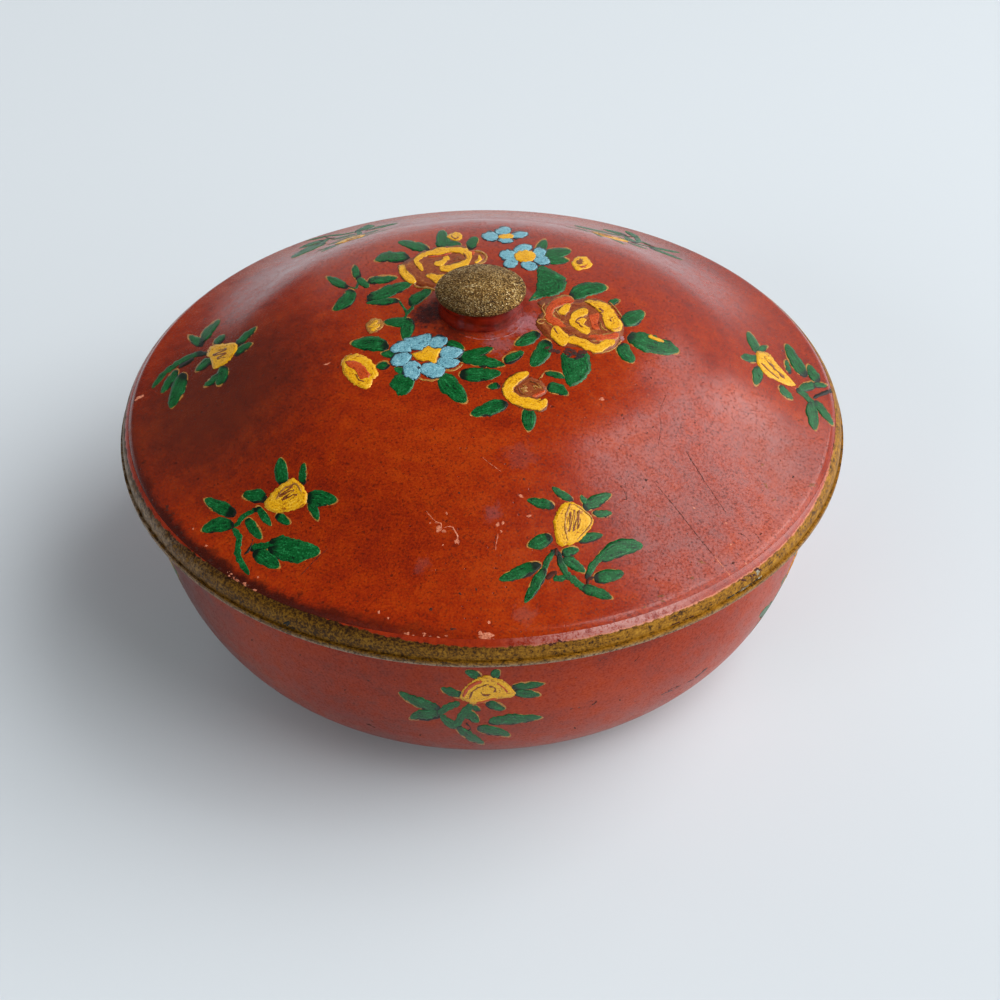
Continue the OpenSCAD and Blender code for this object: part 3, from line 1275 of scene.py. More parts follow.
@dataclass(frozen=True)
class Stroke(Mark):
    """A plain stroke through a few points."""

    paint: Paint
    points: tuple[Px, ...]
    width: float
    layer: Layer = Layer.TOUCH
    dark: float = 0.0
    halo: Paint | None = None
    halo_px: float = 1.2

    def patches(self, seed: float) -> Iterator[Patch]:
        """The outline, where the stroke has one, and the stroke.

        Args:
            seed: Number that sets its unevenness.

        Yields:
            One patch or two.
        """
        if self.halo:
            wide = self.width + 2 * self.halo_px
            yield StrokePatch(self.halo, Layer.EDGE, seed + HALO_SEED, self.points, wide, Taper.LINE)
        yield StrokePatch(self.paint, self.layer, seed, self.points, self.width, Taper.LINE, self.dark)


@dataclass(frozen=True)
class Dab(Mark):
    """A filled dab, on a thin outline where it has one."""

    paint: Paint
    outline: tuple[Px, ...]
    layer: Layer = Layer.PETAL
    halo: float = 1.4
    rim: Paint = Paint.OCHRE
    rim_dark: float = 0.3
    swell: float = 0.0

    def patches(self, seed: float) -> Iterator[Patch]:
        """The outline and the dab.

        Args:
            seed: Number that sets its unevenness.

        Yields:
            One patch or two.
        """
        if self.halo:
            under = Layer.HALO if self.rim is Paint.OCHRE else Layer.EDGE
            grow = self.halo + self.swell
            yield BlobPatch(self.rim, under, seed + HALO_SEED, self.outline, grow, self.rim_dark)
        yield BlobPatch(self.paint, self.layer, seed, self.outline, self.swell)


@dataclass(frozen=True)
class Spot(Mark):
    """A small round or oval spot."""

    paint: Paint
    centre: Px
    wide: float
    high: float
    tilt: float = 0.0
    layer: Layer = Layer.HALO
    corners: int = 11
    ragged: float = 0.7

    def patches(self, seed: float) -> Iterator[Patch]:
        """The spot as an uneven dab.

        Args:
            seed: Number that sets its unevenness.

        Yields:
            The patch.
        """
        turn = Matrix.Rotation(math.radians(self.tilt), 2)
        outline = []
        for i in range(self.corners):
            angle = math.tau * i / self.corners
            uneven = 1 + self.ragged * noise.noise(Vector((i * 1.7, seed, 0.3)))
            arm = Vector((math.cos(angle) * self.wide / 2, math.sin(angle) * self.high / 2)) * uneven
            outline.append(Px(*(Vector(self.centre) + turn @ arm)))
        yield BlobPatch(self.paint, self.layer, seed, tuple(outline))


@dataclass(frozen=True)
class Scribble(Mark):
    """A thin line that runs to and fro, as in the middle of a flower."""

    paint: Paint
    centre: Px
    long: float
    deep: float
    tilt: float = 0.0
    runs: int = 5
    width: float = 1.3

    def patches(self, seed: float) -> Iterator[Patch]:
        """The line as one patch.

        Args:
            seed: Number that sets its unevenness.

        Yields:
            The patch.
        """
        turn = Matrix.Rotation(math.radians(self.tilt), 2)
        points = []
        for i in range(2 * self.runs):
            share = i / (2 * self.runs - 1)
            uneven = 0.7 + 0.6 * noise.noise(Vector((i * 0.9, seed, 0.7)))
            reach = uneven * math.sin(math.pi * mix(0.2, 0.8, share))
            side = 1 if (i + 1) // 2 % 2 else -1
            arm = Vector((side * reach * self.long / 2, mix(-0.5, 0.5, share) * self.deep))
            points.append(Px(*(Vector(self.centre) + turn @ arm)))
        yield StrokePatch(self.paint, Layer.LINE, seed, tuple(points), self.width, Taper.LINE)


@dataclass(frozen=True)
class Flecks(Mark):
    """Small ragged flakes scattered along a line."""

    paint: Paint
    points: tuple[Px, ...]
    spread: float
    size: float
    count: int
    layer: Layer = Layer.HALO

    def patches(self, seed: float) -> Iterator[Patch]:
        """The flakes one by one.

        Args:
            seed: Number that sets their places and sizes.

        Yields:
            The patches.
        """
        for i in range(self.count):
            drift = Vector(noise.noise(Vector((i * 1.31, seed, level))) for level in (0.4, 5.7, 11.2))
            middle = through(self.points, (i + 0.5 + drift.z) / self.count) + drift.xy * 2 * self.spread
            size = self.size * (1 + 1.2 * noise.noise(Vector((i * 0.77, seed, 3.3))))
            flake = Spot(self.paint, Px(*middle), 1.5 * size, 0.8 * size, 60 * drift.x, self.layer)
            yield from flake.patches(seed + i)


@dataclass(frozen=True)
class Ornament:
    """A group of marks that makes one piece."""

    name: str
    body: Body
    marks: Marks
    turn: float = 0.0
    drop: float = 0.0
    step: float = 0.0004
    steps: int = 6
    backing: float = 0.2
    seed_step: float = 1.37
    seed_shift: float = 7.0
    brush_scale: tuple[float, float] = (0.8, 0.4)
    edge_fall: int = 5

    def build(self, camera: PhotoCamera, surface: Surface) -> bpy.types.Object:
        """Lays the marks on a surface.

        Args:
            camera: Camera that the pixels are cast through.
            surface: Surface that the marks lie on.

        Returns:
            The piece.
        """
        bm = bmesh.new()
        bm.loops.layers.uv.new(BRUSH_UV)
        bm.verts.layers.float.new(SHADE)
        seeds = (self.seed_step * i + self.turn for i in range(len(self.marks)))
        patches = [patch for mark, seed in zip(self.marks, seeds) for patch in mark.patches(seed)]
        palette = list(dict.fromkeys(p.paint for p in patches))
        for i, patch in enumerate(patches):
            self._lay(bm, patch, i % self.steps * self.step, palette.index(patch.paint), camera, surface)
        piece = add_piece(bm, self.name, self.body, *(finish_of(paint) for paint in palette))
        backing = piece.modifiers.new("backing", "SOLIDIFY")
        backing.thickness = self.backing * MM
        backing.offset = -1.0
        return piece

    def _lay(self, bm: BMesh, patch: Patch, extra: float, slot: int,
             camera: PhotoCamera, surface: Surface) -> None:
        """Adds one patch.

        Args:
            bm: Mesh to add to.
            patch: The patch.
            extra: Height that keeps it over the patches before it.
            slot: Number of its material slot.
            camera: Camera that the pixels are cast through.
            surface: Surface that the patch lies on.
        """
        uv, shade = bm.loops.layers.uv[BRUSH_UV], bm.verts.layers.float[SHADE]
        turn = Matrix.Rotation(math.radians(self.turn), 3, "Z")
        along_steps, across_steps = patch.grid
        along_scale, across_scale = self.brush_scale
        verts = bmesh.ops.create_grid(bm, x_segments=along_steps, y_segments=across_steps, size=1.0)["verts"]
        faces = {face for vert in verts for face in vert.link_faces}
        brushed: dict[bmesh.types.BMVert, Vector] = {}
        facing = Vector()
        for vert in verts:
            along, across = (vert.co.x + 1) / 2, vert.co.y
            pixel = patch.at(along, across)
            edge = patch.edge(along, across) ** self.edge_fall
            point = surface.lowered(surface.cast(camera.place, camera.ray(pixel)), self.drop)
            normal = surface.normal(point)
            top, foot = patch.layer.value
            lift = mix(top, foot, edge) + extra
            vert.co = turn @ (point + normal * lift) * MM
            vert[shade] = patch.shade(along, across)
            brushed[vert] = Vector((along * along_steps * along_scale,
                                    across * across_steps * across_scale + patch.seed * self.seed_shift))
            facing += turn @ normal
        for face in faces:
            face.material_index = slot
            for loop in face.loops:
                loop[uv].uv = brushed[loop.vert]
        bmesh.ops.remove_doubles(bm, verts=verts, dist=WELD)
        faces = [face for face in faces if face.is_valid]
        for face in faces:
            face.normal_update()
        if sum(face.normal.dot(facing) * face.calc_area() for face in faces) < 0:
            bmesh.ops.reverse_faces(bm, faces=faces)


@cache
def finish_of(paint: Paint) -> Material:
    """Material of a paint, made once."""
    return paint.value.material()


# Sub-assemblies


@dataclass(frozen=True)
class Bowl:
    """The low round bowl: pressed-up base, flat foot, swelling wall and a mouth rolled round a wire."""

    mouth_r: float
    mouth_z: float
    sheet: float = 0.6
    base_r: float = 60.0
    foot_w: float = 6.0
    kick_h: float = 2.0
    kick_w: float = 8.0
    foot_reach: float = 15.0
    belly_out: float = 1.5
    belly_z: float = 6.0
    roll_r: float = 1.5
    roll_end: float = -120.0

    def line(self) -> Line:
        """Middle of the sheet, from the axis to the end of the roll.

        Returns:
            The points.
        """
        low = self.sheet / 2
        roll = Vector((self.mouth_r - self.roll_r - low, self.mouth_z - self.roll_r - low))
        top = roll - Vector((self.roll_r, 0.0))
        foot_in = self.base_r - self.foot_w
        wall = (Vector((self.base_r, low)), Vector((self.base_r + self.foot_reach, low)),
                Vector((top.x + self.belly_out, low + self.belly_z)), top)
        return joined([Vector((0.0, low + self.kick_h))],
                      soft_step(Vector((foot_in - self.kick_w, low + self.kick_h)), Vector((foot_in, low))),
                      bezier(wall),
                      arc(roll, self.roll_r, 180.0, self.roll_end, ROLL_STEPS))

    def surface(self) -> BowlSurface:
        """Outer side that the flowers are painted on."""
        outer = sides(self.line(), self.sheet)[1]
        return BowlSurface(Profile([(p.y, p.x) for p in outer if p.x > self.base_r]))

    def build(self) -> None:
        """Builds the bowl in place of its solid."""
        # The bowl's two soft patches are painted shade on its left and front, under the lid's overhang.
        red = RedPaint("bowl_red", srgb(124, 34, 8), srgb(153, 47, 13), srgb(168, 59, 19), 1.0, 0.2, 0.36,
                       pitting=0.32, soft_patches=(ColourPatch(-98.0, -34.0, 74.0, 0.8, srgb(72, 40, 38)),
                                             ColourPatch(-34.0, -92.0, 66.0, 0.26, srgb(84, 38, 30))))
        inside = DullTin("bowl_inside_tin")
        shell = add_piece(spun_sheet(self.line(), self.sheet, True), "bowl_painted", Body.BOWL,
                          red.material(), inside.material())
        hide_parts("bowl_shell")


@dataclass(frozen=True)
class Lid:
    """The domed lid with its knob seat, steep flank, soft brim and lapped edge, and the gilded hoop on it."""

    rim_r: float
    rim_z: float
    sheet: float = 0.6
    crown_h: float = 38.2
    flank_r: float = 73.4
    flank_h: float = 23.9
    flank_fall: float = 0.62
    brim_fall: float = 0.33
    crown_reach: float = 38.0
    shoulder_reach: float = 16.0
    flank_reach: float = 10.0
    brim_reach: float = 12.0
    seat_r: float = 13.6
    seat_rise: float = 0.2
    seat_slope_end: float = 0.17
    hole_r: float = 2.1
    brim_bend: float = 3.0
    lap_gap: float = 0.02
    lap_top: float = 45.0
    lap_end: float = 8.0
    hoop_round: float = 9.0
    hoop_top: float = 36.0
    hoop_upright: float = 2.5
    hoop_feather: int = 6
    hem_gap: float = 0.1
    hem_h: float = 1.9
    gilt_in: float = 2.2
    soft_patches: tuple[ColourPatch, ...] = (
        # Painted shade over the lid's left flank, away from the light.
        ColourPatch(-78.0, -18.0, 52.0, 0.7, srgb(66, 28, 16)),
        # Round the knob's foot: a darker purplish patch, partly a painted reflection of the knob, painted shadows
        # of the knob on its left and front, and pale painted reflections to its right and front.
        ColourPatch(0.0, 0.0, 25.0, 0.6, srgb(106, 38, 34)),
        ColourPatch(-15.0, -2.0, 9.0, 0.85, srgb(34, 16, 20)),
        ColourPatch(-9.0, -12.0, 7.0, 0.6, srgb(44, 14, 14)),
        ColourPatch(14.0, -8.0, 7.0, 0.6, srgb(164, 112, 118)),
        ColourPatch(5.0, -17.0, 6.0, 0.55, srgb(146, 92, 94)),
        ColourPatch(2.5, -74.0, 3.0, 0.36, srgb(136, 82, 82)),
        ColourPatch(-15.8, -85.6, 3.0, 0.3, srgb(124, 68, 64)),
        ColourPatch(10.2, -58.6, 6.0, 0.25, srgb(130, 76, 70)),
        ColourPatch(10.4, -99.3, 4.0, 0.3, srgb(156, 90, 76)),
        # Darker patches on the front right and on the right flank.
        ColourPatch(48.0, -62.0, 26.0, 0.14, srgb(112, 40, 26)),
        ColourPatch(84.0, -38.0, 22.0, 0.35, srgb(112, 30, 14)),
    )

    @property
    def hoop_top_z(self) -> float:
        """Height of the hoop's upper edge."""
        rise = (self.hoop_round + self.sheet / 2) * math.sin(math.radians(self.hoop_top))
        return self.rim_z + self.hoop_upright + rise

    @property
    def hem_bend(self) -> float:
        """Radius of the fold at the hoop's lower edge."""
        return (self.sheet + self.hem_gap) / 2

    @property
    def hoop_r(self) -> float:
        """Radius of the hoop's upright face, in the middle of its sheet."""
        return self.rim_r - self.sheet / 2 - 2 * self.hem_bend

    @property
    def face(self) -> Vector:
        """Middle of the hoop's rounded face, in section."""
        return Vector((self.hoop_r - self.hoop_round, self.rim_z + self.hoop_upright))

    def line(self) -> Line:
        """Middle of the dome's sheet, from the screw hole to the lapped edge.

        Returns:
            The points.
        """
        crown_z = self.rim_z + self.crown_h - self.sheet / 2
        flank = Vector((self.flank_r, self.rim_z + self.flank_h - self.sheet / 2))
        lap_r = self.hoop_round - self.sheet - self.lap_gap
        lean = math.radians(self.lap_top)
        bend = self.face + (lap_r - self.brim_bend) * Vector((math.cos(lean), math.sin(lean)))
        brim = math.pi / 2 - math.atan(self.brim_fall)
        end = bend + self.brim_bend * Vector((math.cos(brim), math.sin(brim)))
        shoulder = flank + self.shoulder_reach * Vector((-1.0, self.flank_fall))
        crown = bezier((Vector((0.0, crown_z)), Vector((self.crown_reach, crown_z)), shoulder, flank),
                       self.seat_slope_end)
        skirt = bezier((flank, flank + self.flank_reach * Vector((1.0, -self.flank_fall)),
                        end + self.brim_reach * Vector((-1.0, self.brim_fall)), end))
        seat_z = crown_z + self.seat_rise
        return joined([Vector((self.hole_r, seat_z))],
                      soft_step(Vector((self.seat_r, seat_z)), crown[0]), crown, skirt,
                      arc(bend, self.brim_bend, math.degrees(brim), self.lap_top),
                      arc(self.face, lap_r, self.lap_top, self.lap_end))

    def hoop_line(self) -> Line:
        """Middle of the hoop's sheet, from its top edge down and round the hem.

        Returns:
            The points.
        """
        fold = Vector((self.hoop_r + self.hem_bend, self.rim_z + self.sheet / 2 + self.hem_bend))
        return joined(arc(self.face, self.hoop_round, self.hoop_top, 0.0), arc(fold, self.hem_bend, 180.0, 360.0),
                      [Vector((fold.x + self.hem_bend, self.rim_z + self.hem_h))])

    def surface(self) -> LidSurface:
        """Upper side that the flowers are painted on."""
        return LidSurface(Profile([(p.x, p.y) for p in sides(self.line(), self.sheet)[0]]))

    def hoop_surface(self) -> BowlSurface:
        """Rounded face of the hoop."""
        face = arc(self.face, self.hoop_round + self.sheet / 2, 0.0, self.hoop_top)
        return BowlSurface(Profile([(p.y, p.x) for p in face]))

    def build(self) -> None:
        """Builds the dome and the hoop in place of their solids."""
        red = RedPaint("lid_red", srgb(119, 24, 1), srgb(147, 39, 1), srgb(164, 55, 4), -1.0, 0.44, 0.24,
                       self.rim_r - self.gilt_in, soft_patches=self.soft_patches)
        inside = DullTin("lid_inside_tin")
        dome = add_piece(spun_sheet(self.line(), self.sheet, False), "lid_painted", Body.LID,
                         red.material(), inside.material())
        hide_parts("lid_dome")
        gilt = GiltBand("hoop_gilt", self.rim_z, self.hoop_top_z)
        band = spun_sheet(self.hoop_line(), self.sheet, False, self.hoop_feather)
        hoop = add_piece(band, "hoop_gilded", Body.LID, gilt.material(), gilt.material())
        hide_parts("lid_rim_hoop")


@dataclass(frozen=True)
class Knob:
    """The knob: a waisted neck, and a button cap thick with gold powder."""

    cap_r: float
    cap_low: float
    cap_high: float
    neck_r: float
    neck_low: float
    hole_r: float = 2.1
    neck_in: float = 1.0
    waist: float = 0.3
    edge: float = 0.8
    edge_low: float = -60.0
    edge_top: float = 75.0
    dome_reach: float = 5.0
    grain: float = 0.07
    grain_size: float = 0.8

    def neck_outline(self) -> Line:
        """Section of the neck round its bore.

        Returns:
            The points of the loop.
        """
        foot = Vector((self.neck_r, self.neck_low))
        head = Vector((self.cap_r - self.neck_in, self.cap_low))
        hollow = (foot + head) / 2 - Vector((self.waist / 0.75, 0.0))
        return joined([Vector((self.hole_r, self.neck_low))], bezier((foot, hollow, hollow, head)),
                      [Vector((self.hole_r, self.cap_low))])

    def cap_outline(self) -> Line:
        """Section of the cap, from the axis under it to the axis on top.

        Returns:
            The points.
        """
        middle = Vector((self.cap_r - self.edge, (self.cap_low + self.cap_high) / 2 - self.edge))
        under = Vector((middle.x, self.cap_low + self.edge))
        lean = math.radians(self.edge_top)
        start = middle + self.edge * Vector((math.cos(lean), math.sin(lean)))
        top = Vector((0.0, self.cap_high))
        dome = bezier((start, start + self.dome_reach * Vector((-math.sin(lean), math.cos(lean))),
                       top + Vector((self.dome_reach, 0.0)), top))
        return joined([Vector((0.0, self.cap_low)), Vector((middle.x, self.cap_low))],
                      arc(under, self.edge, self.edge_low, 0.0), arc(middle, self.edge, 0.0, self.edge_top), dome)

    def build(self) -> None:
        """Builds the neck and the cap in place of their solids."""
        paint = NeckPaint("neck_red").material()
        neck = add_piece(spun(self.neck_outline()), "knob_neck_painted", Body.LID, paint)
        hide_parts("knob_neck")
        bm = spun(self.cap_outline())
        for vert in bm.verts:
            gap = noise.voronoi(vert.co / (self.grain_size * MM))[0][0]
            vert.co -= vert.normal * min(gap, 1.0) * self.grain * MM
        cap = add_piece(bm, "knob_cap_gilded", Body.LID, GlitterGilt("cap_gilt").material())
        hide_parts("knob_cap")


@dataclass(frozen=True)
class HiddenSteel:
    """The wire, washer and screw, which keep their solids."""

    nodes: tuple[str, ...] = ("bowl_rim_wire", "knob_screw", "knob_washer")

    def dress(self) -> None:
        """Gives each solid a tarnished steel finish."""
        steel = DullTin("hidden_steel", srgb(120, 116, 108), srgb(74, 70, 64), srgb(84, 56, 36)).material()
        for node in self.nodes:
            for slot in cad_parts[node].material_slots:
                slot.material = steel
            LOG.info("%s: solid with a steel finish", node)


@dataclass(frozen=True)
class SoftBox:
    """A large soft lamp that faces the box, by the part of the sky that it fills, in degrees."""

    name: str
    azimuth: float
    height: float
    wide: float
    high: float
    glow: float
    mirrored: bool = True
    upright: bool = False
    away: float = 2.6

    def build(self) -> None:
        """Adds the lamp, which leans towards the box or stands upright like a window."""
        lamp = bpy.data.lights.new(self.name, "AREA")
        lamp.shape = "RECTANGLE"
        az, el = math.radians(self.azimuth), math.radians(self.height)
        half_wide, half_high = math.radians(self.wide / 2), math.radians(self.high / 2)
        level = Vector((math.cos(az), math.sin(az), 0.0))
        box = bpy.data.objects.new(self.name, lamp)
        if self.upright:
            low, high = math.tan(el - half_high), math.tan(el + half_high)
            lamp.size = 2 * self.away * math.tan(half_wide)
            lamp.size_y = self.away * (high - low)
            box.location = (level + Vector((0.0, 0.0, (low + high) / 2))) * self.away
            box.rotation_euler = level.to_track_quat("Z", "Y").to_euler()
        else:
            way = level * math.cos(el) + Vector((0.0, 0.0, math.sin(el)))
            lamp.size = 2 * self.away * math.tan(half_wide) * math.cos(el)
            lamp.size_y = 2 * self.away * math.tan(half_high)
            box.location = way * self.away
            box.rotation_euler = way.to_track_quat("Z", "Y").to_euler()
        lamp.energy = math.pi * lamp.size * lamp.size_y * self.glow
        box.visible_camera = False
        box.visible_glossy = self.mirrored
        bpy.context.scene.collection.objects.link(box)


@dataclass(frozen=True)
class Studio:
    """A pale floor, soft light from the right, a soft fill from the left and a little from all round."""

    floor_size: float = 8.0
    floor: Colour = srgb(205, 212, 217)
    world: Colour = srgb(240, 244, 250)
    world_strength: float = 0.09
    lamps: tuple[SoftBox, ...] = (
        SoftBox("window", azimuth=17.0, height=43.5, wide=54.0, high=49.0, glow=3.4, upright=True),
        SoftBox("window_side", azimuth=52.0, height=36.0, wide=16.0, high=16.0, glow=2.2, upright=True),
        SoftBox("low_light", azimuth=-16.0, height=17.0, wide=80.0, high=30.0, glow=2.3),
        SoftBox("front_light", azimuth=-33.0, height=46.0, wide=46.0, high=22.0, glow=4.2),
        SoftBox("side_fill", azimuth=-20.0, height=48.0, wide=40.0, high=30.0, glow=1.2, mirrored=False),
        SoftBox("top_fill", azimuth=-30.0, height=66.0, wide=60.0, high=20.0, glow=2.5, mirrored=False),
        SoftBox("left_fill", azimuth=225.0, height=27.0, wide=34.0, high=20.0, glow=4.1, mirrored=False),
        SoftBox("back_fill", azimuth=130.0, height=24.0, wide=64.0, high=22.0, glow=2.0, mirrored=False),
        SoftBox("back_wall", azimuth=66.0, height=14.0, wide=84.0, high=36.0, glow=0.34),
    )

    def build(self) -> None:
        """Builds the floor, the lamps and the world."""
        self._floor()
        for lamp in self.lamps:
            lamp.build()
        self._world()

    def _floor(self) -> None:
        """Adds the floor as stage."""
        bm = bmesh.new()
        bmesh.ops.create_grid(bm, x_segments=1, y_segments=1, size=self.floor_size / 2)
        mesh = bpy.data.meshes.new("floor")
        bm.to_mesh(mesh)
        bm.free()
        s = Shader("floor_paper")
        s.set(Base_Color=self.floor, Roughness=0.9, Specular_IOR_Level=0.2)
        mesh.materials.append(s.material)
        floor = bpy.data.objects.new("floor", mesh)
        bpy.context.scene.collection.objects.link(floor)

    def _world(self) -> None:
        """Lights the scene a little from all round."""
        world = bpy.data.worlds.new("room")
        world.use_nodes = True
        background = next(n for n in world.node_tree.nodes if n.type == "BACKGROUND")
        background.inputs["Color"].default_value = (*self.world, 1.0)
        background.inputs["Strength"].default_value = self.world_strength
        bpy.context.scene.world = world
        bpy.context.scene.view_settings.view_transform = "Standard"


# Flowers and wear


def path(*numbers: float) -> tuple[Px, ...]:
    """Pixels of a line or an outline, given as x and y in turn."""
    return tuple(Px(x, y) for x, y in zip(numbers[::2], numbers[1::2]))


def leaves(*rows: tuple[float, ...]) -> tuple[Leaf, ...]:
    """Plain leaves, each given as base x and y, tip x and y, width and, where it differs, share of dark."""
    return tuple(Leaf(Px(base_x, base_y), Px(tip_x, tip_y), width, *dark)
                 for base_x, base_y, tip_x, tip_y, width, *dark in rows)


def strokes(paint: Paint, layer: Layer, *rows: tuple[float, ...], **look: object) -> tuple[Stroke, ...]:
    """Strokes in one paint and with one look, each given as width, then x and y of its points in turn."""
    return tuple(Stroke(paint, path(*points), width, layer, **look) for width, *points in rows)


def spots(paint: Paint, *rows: tuple[float, ...], layer: Layer = Layer.HALO) -> tuple[Spot, ...]:
    """Spots in one paint, each given as x and y of its middle, width, height and, where it leans, tilt."""
    return tuple(Spot(paint, Px(x, y), wide, high, *tilt, layer=layer) for x, y, wide, high, *tilt in rows)


# Sprig on the front left of the lid
FRONT_LEFT_SPRIG: Marks = (
    *leaves(
        (282, 484, 280, 458, 14), (303, 483, 304, 463, 8), (305, 498, 337, 500, 16, 1.0),
        (309, 503, 318, 520, 9), (266, 497, 243, 496, 13), (234, 513, 205, 499, 14, 1.0)),
    Leaf(base=Px(233, 524), tip=Px(202, 531), width=14, via=Px(217, 525)),
    Stroke(Paint.GREEN, width=5, layer=Layer.LEAF, dark=0.9, points=path(258, 509, 246, 515, 234, 527)),
    *leaves((257, 507, 271, 526, 8), (276, 515, 290, 524, 9, 1.0), (246, 519, 261, 539, 11)),
    Stroke(Paint.GREEN, width=6.5, layer=Layer.LEAF, points=path(233, 528, 239, 538, 238, 555, 249, 575)),
    Leaf(base=Px(254, 551), tip=Px(279, 567), width=15, dark=0.9),
    Stroke(Paint.GREEN, width=7, layer=Layer.LEAF, dark=0.7, points=path(250, 550, 260, 546, 276, 545)),
    Leaf(base=Px(268, 545), tip=Px(320, 551), width=24, dark=0.7),
    Stroke(Paint.SHADE, width=1.8, layer=Layer.WASH, points=path(253, 539, 251, 546, 244, 555)),
    Dab(Paint.YELLOW, outline=path(295, 479, 307, 493, 303, 506, 279, 513, 265, 507, 268, 497, 282, 484)),
    Scribble(Paint.BROWN, centre=Px(288, 494), long=20, deep=13, tilt=-30, runs=6),
    Stroke(Paint.OCHRE, width=1.6, layer=Layer.LINE, points=path(276, 500, 284, 489, 296, 484, 302, 493)),
)


# Sprig on the front right of the lid
FRONT_RIGHT_SPRIG: Marks = (
    *leaves(
        (553, 506, 527, 500, 10), (572, 499, 552, 487, 8), (583, 508, 611, 494, 12), (588, 505, 581, 495, 6),
        (593, 512, 612, 513, 7.5), (578, 540, 603, 535, 9), (551, 536, 528, 546, 14, 0.9),
        (562, 553, 579, 550, 9)),
    Stroke(Paint.GREEN, width=6, layer=Layer.LEAF, dark=0.8, points=path(555, 549, 547, 562, 541, 576)),
    *leaves((545, 568, 525, 603, 11), (540, 564, 499, 580, 13, 1.0)),
    Stroke(Paint.GREEN, width=7, layer=Layer.LEAF, dark=0.8, points=path(
        558, 551, 564, 570, 575, 581, 588, 591)),
    *leaves((582, 587, 612, 598, 10), (563, 558, 585, 572, 11)),
    Stroke(Paint.GREEN, width=6, layer=Layer.LEAF, points=path(553, 579, 571, 577)),
    Stroke(Paint.GREEN, width=8, layer=Layer.LEAF, dark=0.8, points=path(586, 579, 595, 563, 608, 552)),
    Leaf(base=Px(600, 558), tip=Px(643, 546), width=17, via=Px(622, 547), dark=0.2),
    Leaf(base=Px(594, 578), tip=Px(624, 573), width=13, dark=0.8),
    *strokes(Paint.DARK_BROWN, Layer.WASH,
        (4, 546, 579, 552, 574, 557, 572), (3, 587, 584, 589, 579, 594, 577),
        (3.4, 556, 556, 556, 551, 558, 549)),
    Dab(Paint.YELLOW, outline=path(572, 502, 594, 521, 577, 542, 560, 545, 554, 531, 556, 512)),
    Scribble(Paint.BROWN, centre=Px(574, 521), long=25, deep=13, tilt=-80, runs=7),
    *strokes(Paint.OCHRE, Layer.LINE, (1.8, 571, 503, 565, 520, 568, 541), (1.6, 574, 504, 592, 520, 577, 540)),
)


# Sprig on the left of the lid
LEFT_SPRIG: Marks = (
    *leaves(
        (236, 344, 256, 327, 6.5), (235, 354, 252, 343, 7), (225, 366, 217, 385, 12), (218, 374, 204, 386, 6),
        (212, 359, 196, 371, 7), (214, 344, 225, 335, 6), (200, 343, 220, 320, 8, 0.9),
        (202, 344, 189, 336, 9, 0.9)),
    Stroke(Paint.GREEN, width=5, layer=Layer.LEAF, dark=1.0, points=path(
        209, 353, 191, 356, 168, 370, 152, 388)),
    Stroke(Paint.SHADE, width=4, layer=Layer.WASH, points=path(194, 358, 179, 368)),
    *leaves((177, 370, 161, 393, 8), (184, 373, 170, 408, 13.5, 0.9)),
    Dab(Paint.YELLOW, outline=path(
        237, 344, 234, 355, 226, 363, 214, 369, 211, 360, 207, 354, 210, 347, 223, 344)),
    Scribble(Paint.BROWN, centre=Px(222, 354), long=15, deep=9, tilt=-20),
)


# Sprig on the right of the lid
RIGHT_SPRIG: Marks = (
    *leaves(
        (758, 352, 747, 332, 9), (759, 352, 767, 346, 6), (758, 359, 741, 356, 8), (757, 366, 756, 385, 11),
        (780, 385, 793, 399, 7), (805, 375, 786, 344, 11.5), (790, 372, 786, 360, 5), (818, 381, 808, 365, 10),
        (815, 384, 799, 389, 9), (813, 384, 827, 386, 5)),
    Stroke(Paint.GREEN, width=6, layer=Layer.LEAF, dark=0.7, points=path(796, 389, 807, 397, 814, 405)),
    Stroke(Paint.SHADE, width=4, layer=Layer.WASH, points=path(813, 398, 824, 393, 834, 390)),
    *leaves((810, 402, 815, 430, 11), (814, 401, 833, 425, 8)),
    Dab(Paint.YELLOW, outline=path(
        757, 352, 768, 353, 776, 363, 794, 383, 792, 386, 784, 384, 766, 375, 758, 364)),
    *strokes(Paint.BROWN, Layer.LINE, (1.8, 764, 357, 773, 368, 785, 379), (1.4, 761, 363, 770, 372, 779, 379)),
)


def blue_flower(middle: tuple[Px, ...], *petals: tuple[Px, ...]) -> Marks:
    """A blue flower, given as the outline of its yellow middle and the outlines of its petals."""
    blue = tuple(Dab(Paint.BLUE, outline=shape, halo=0.9, rim=Paint.NAVY, swell=0.9) for shape in petals)
    return (*blue, Dab(Paint.YELLOW, outline=middle, layer=Layer.TOUCH, halo=0.8, rim=Paint.BROWN))


def petal(base: Px, tip: Px, width: float) -> tuple[Px, ...]:
    """Outline of a small oval petal.

    Args:
        base: Its end at the flower's middle.
        tip: Its outer end.
        width: Its width.

    Returns:
        The outline.
    """
    way = (Vector(tip) - Vector(base)) / 2
    side = Vector((-way.y, way.x)).normalized() * width / 2
    heart = Vector(base) + way
    angles = (math.tau * i / PETAL_CORNERS for i in range(PETAL_CORNERS))
    return tuple(Px(*(heart + way * math.cos(a) + side * math.sin(a))) for a in angles)


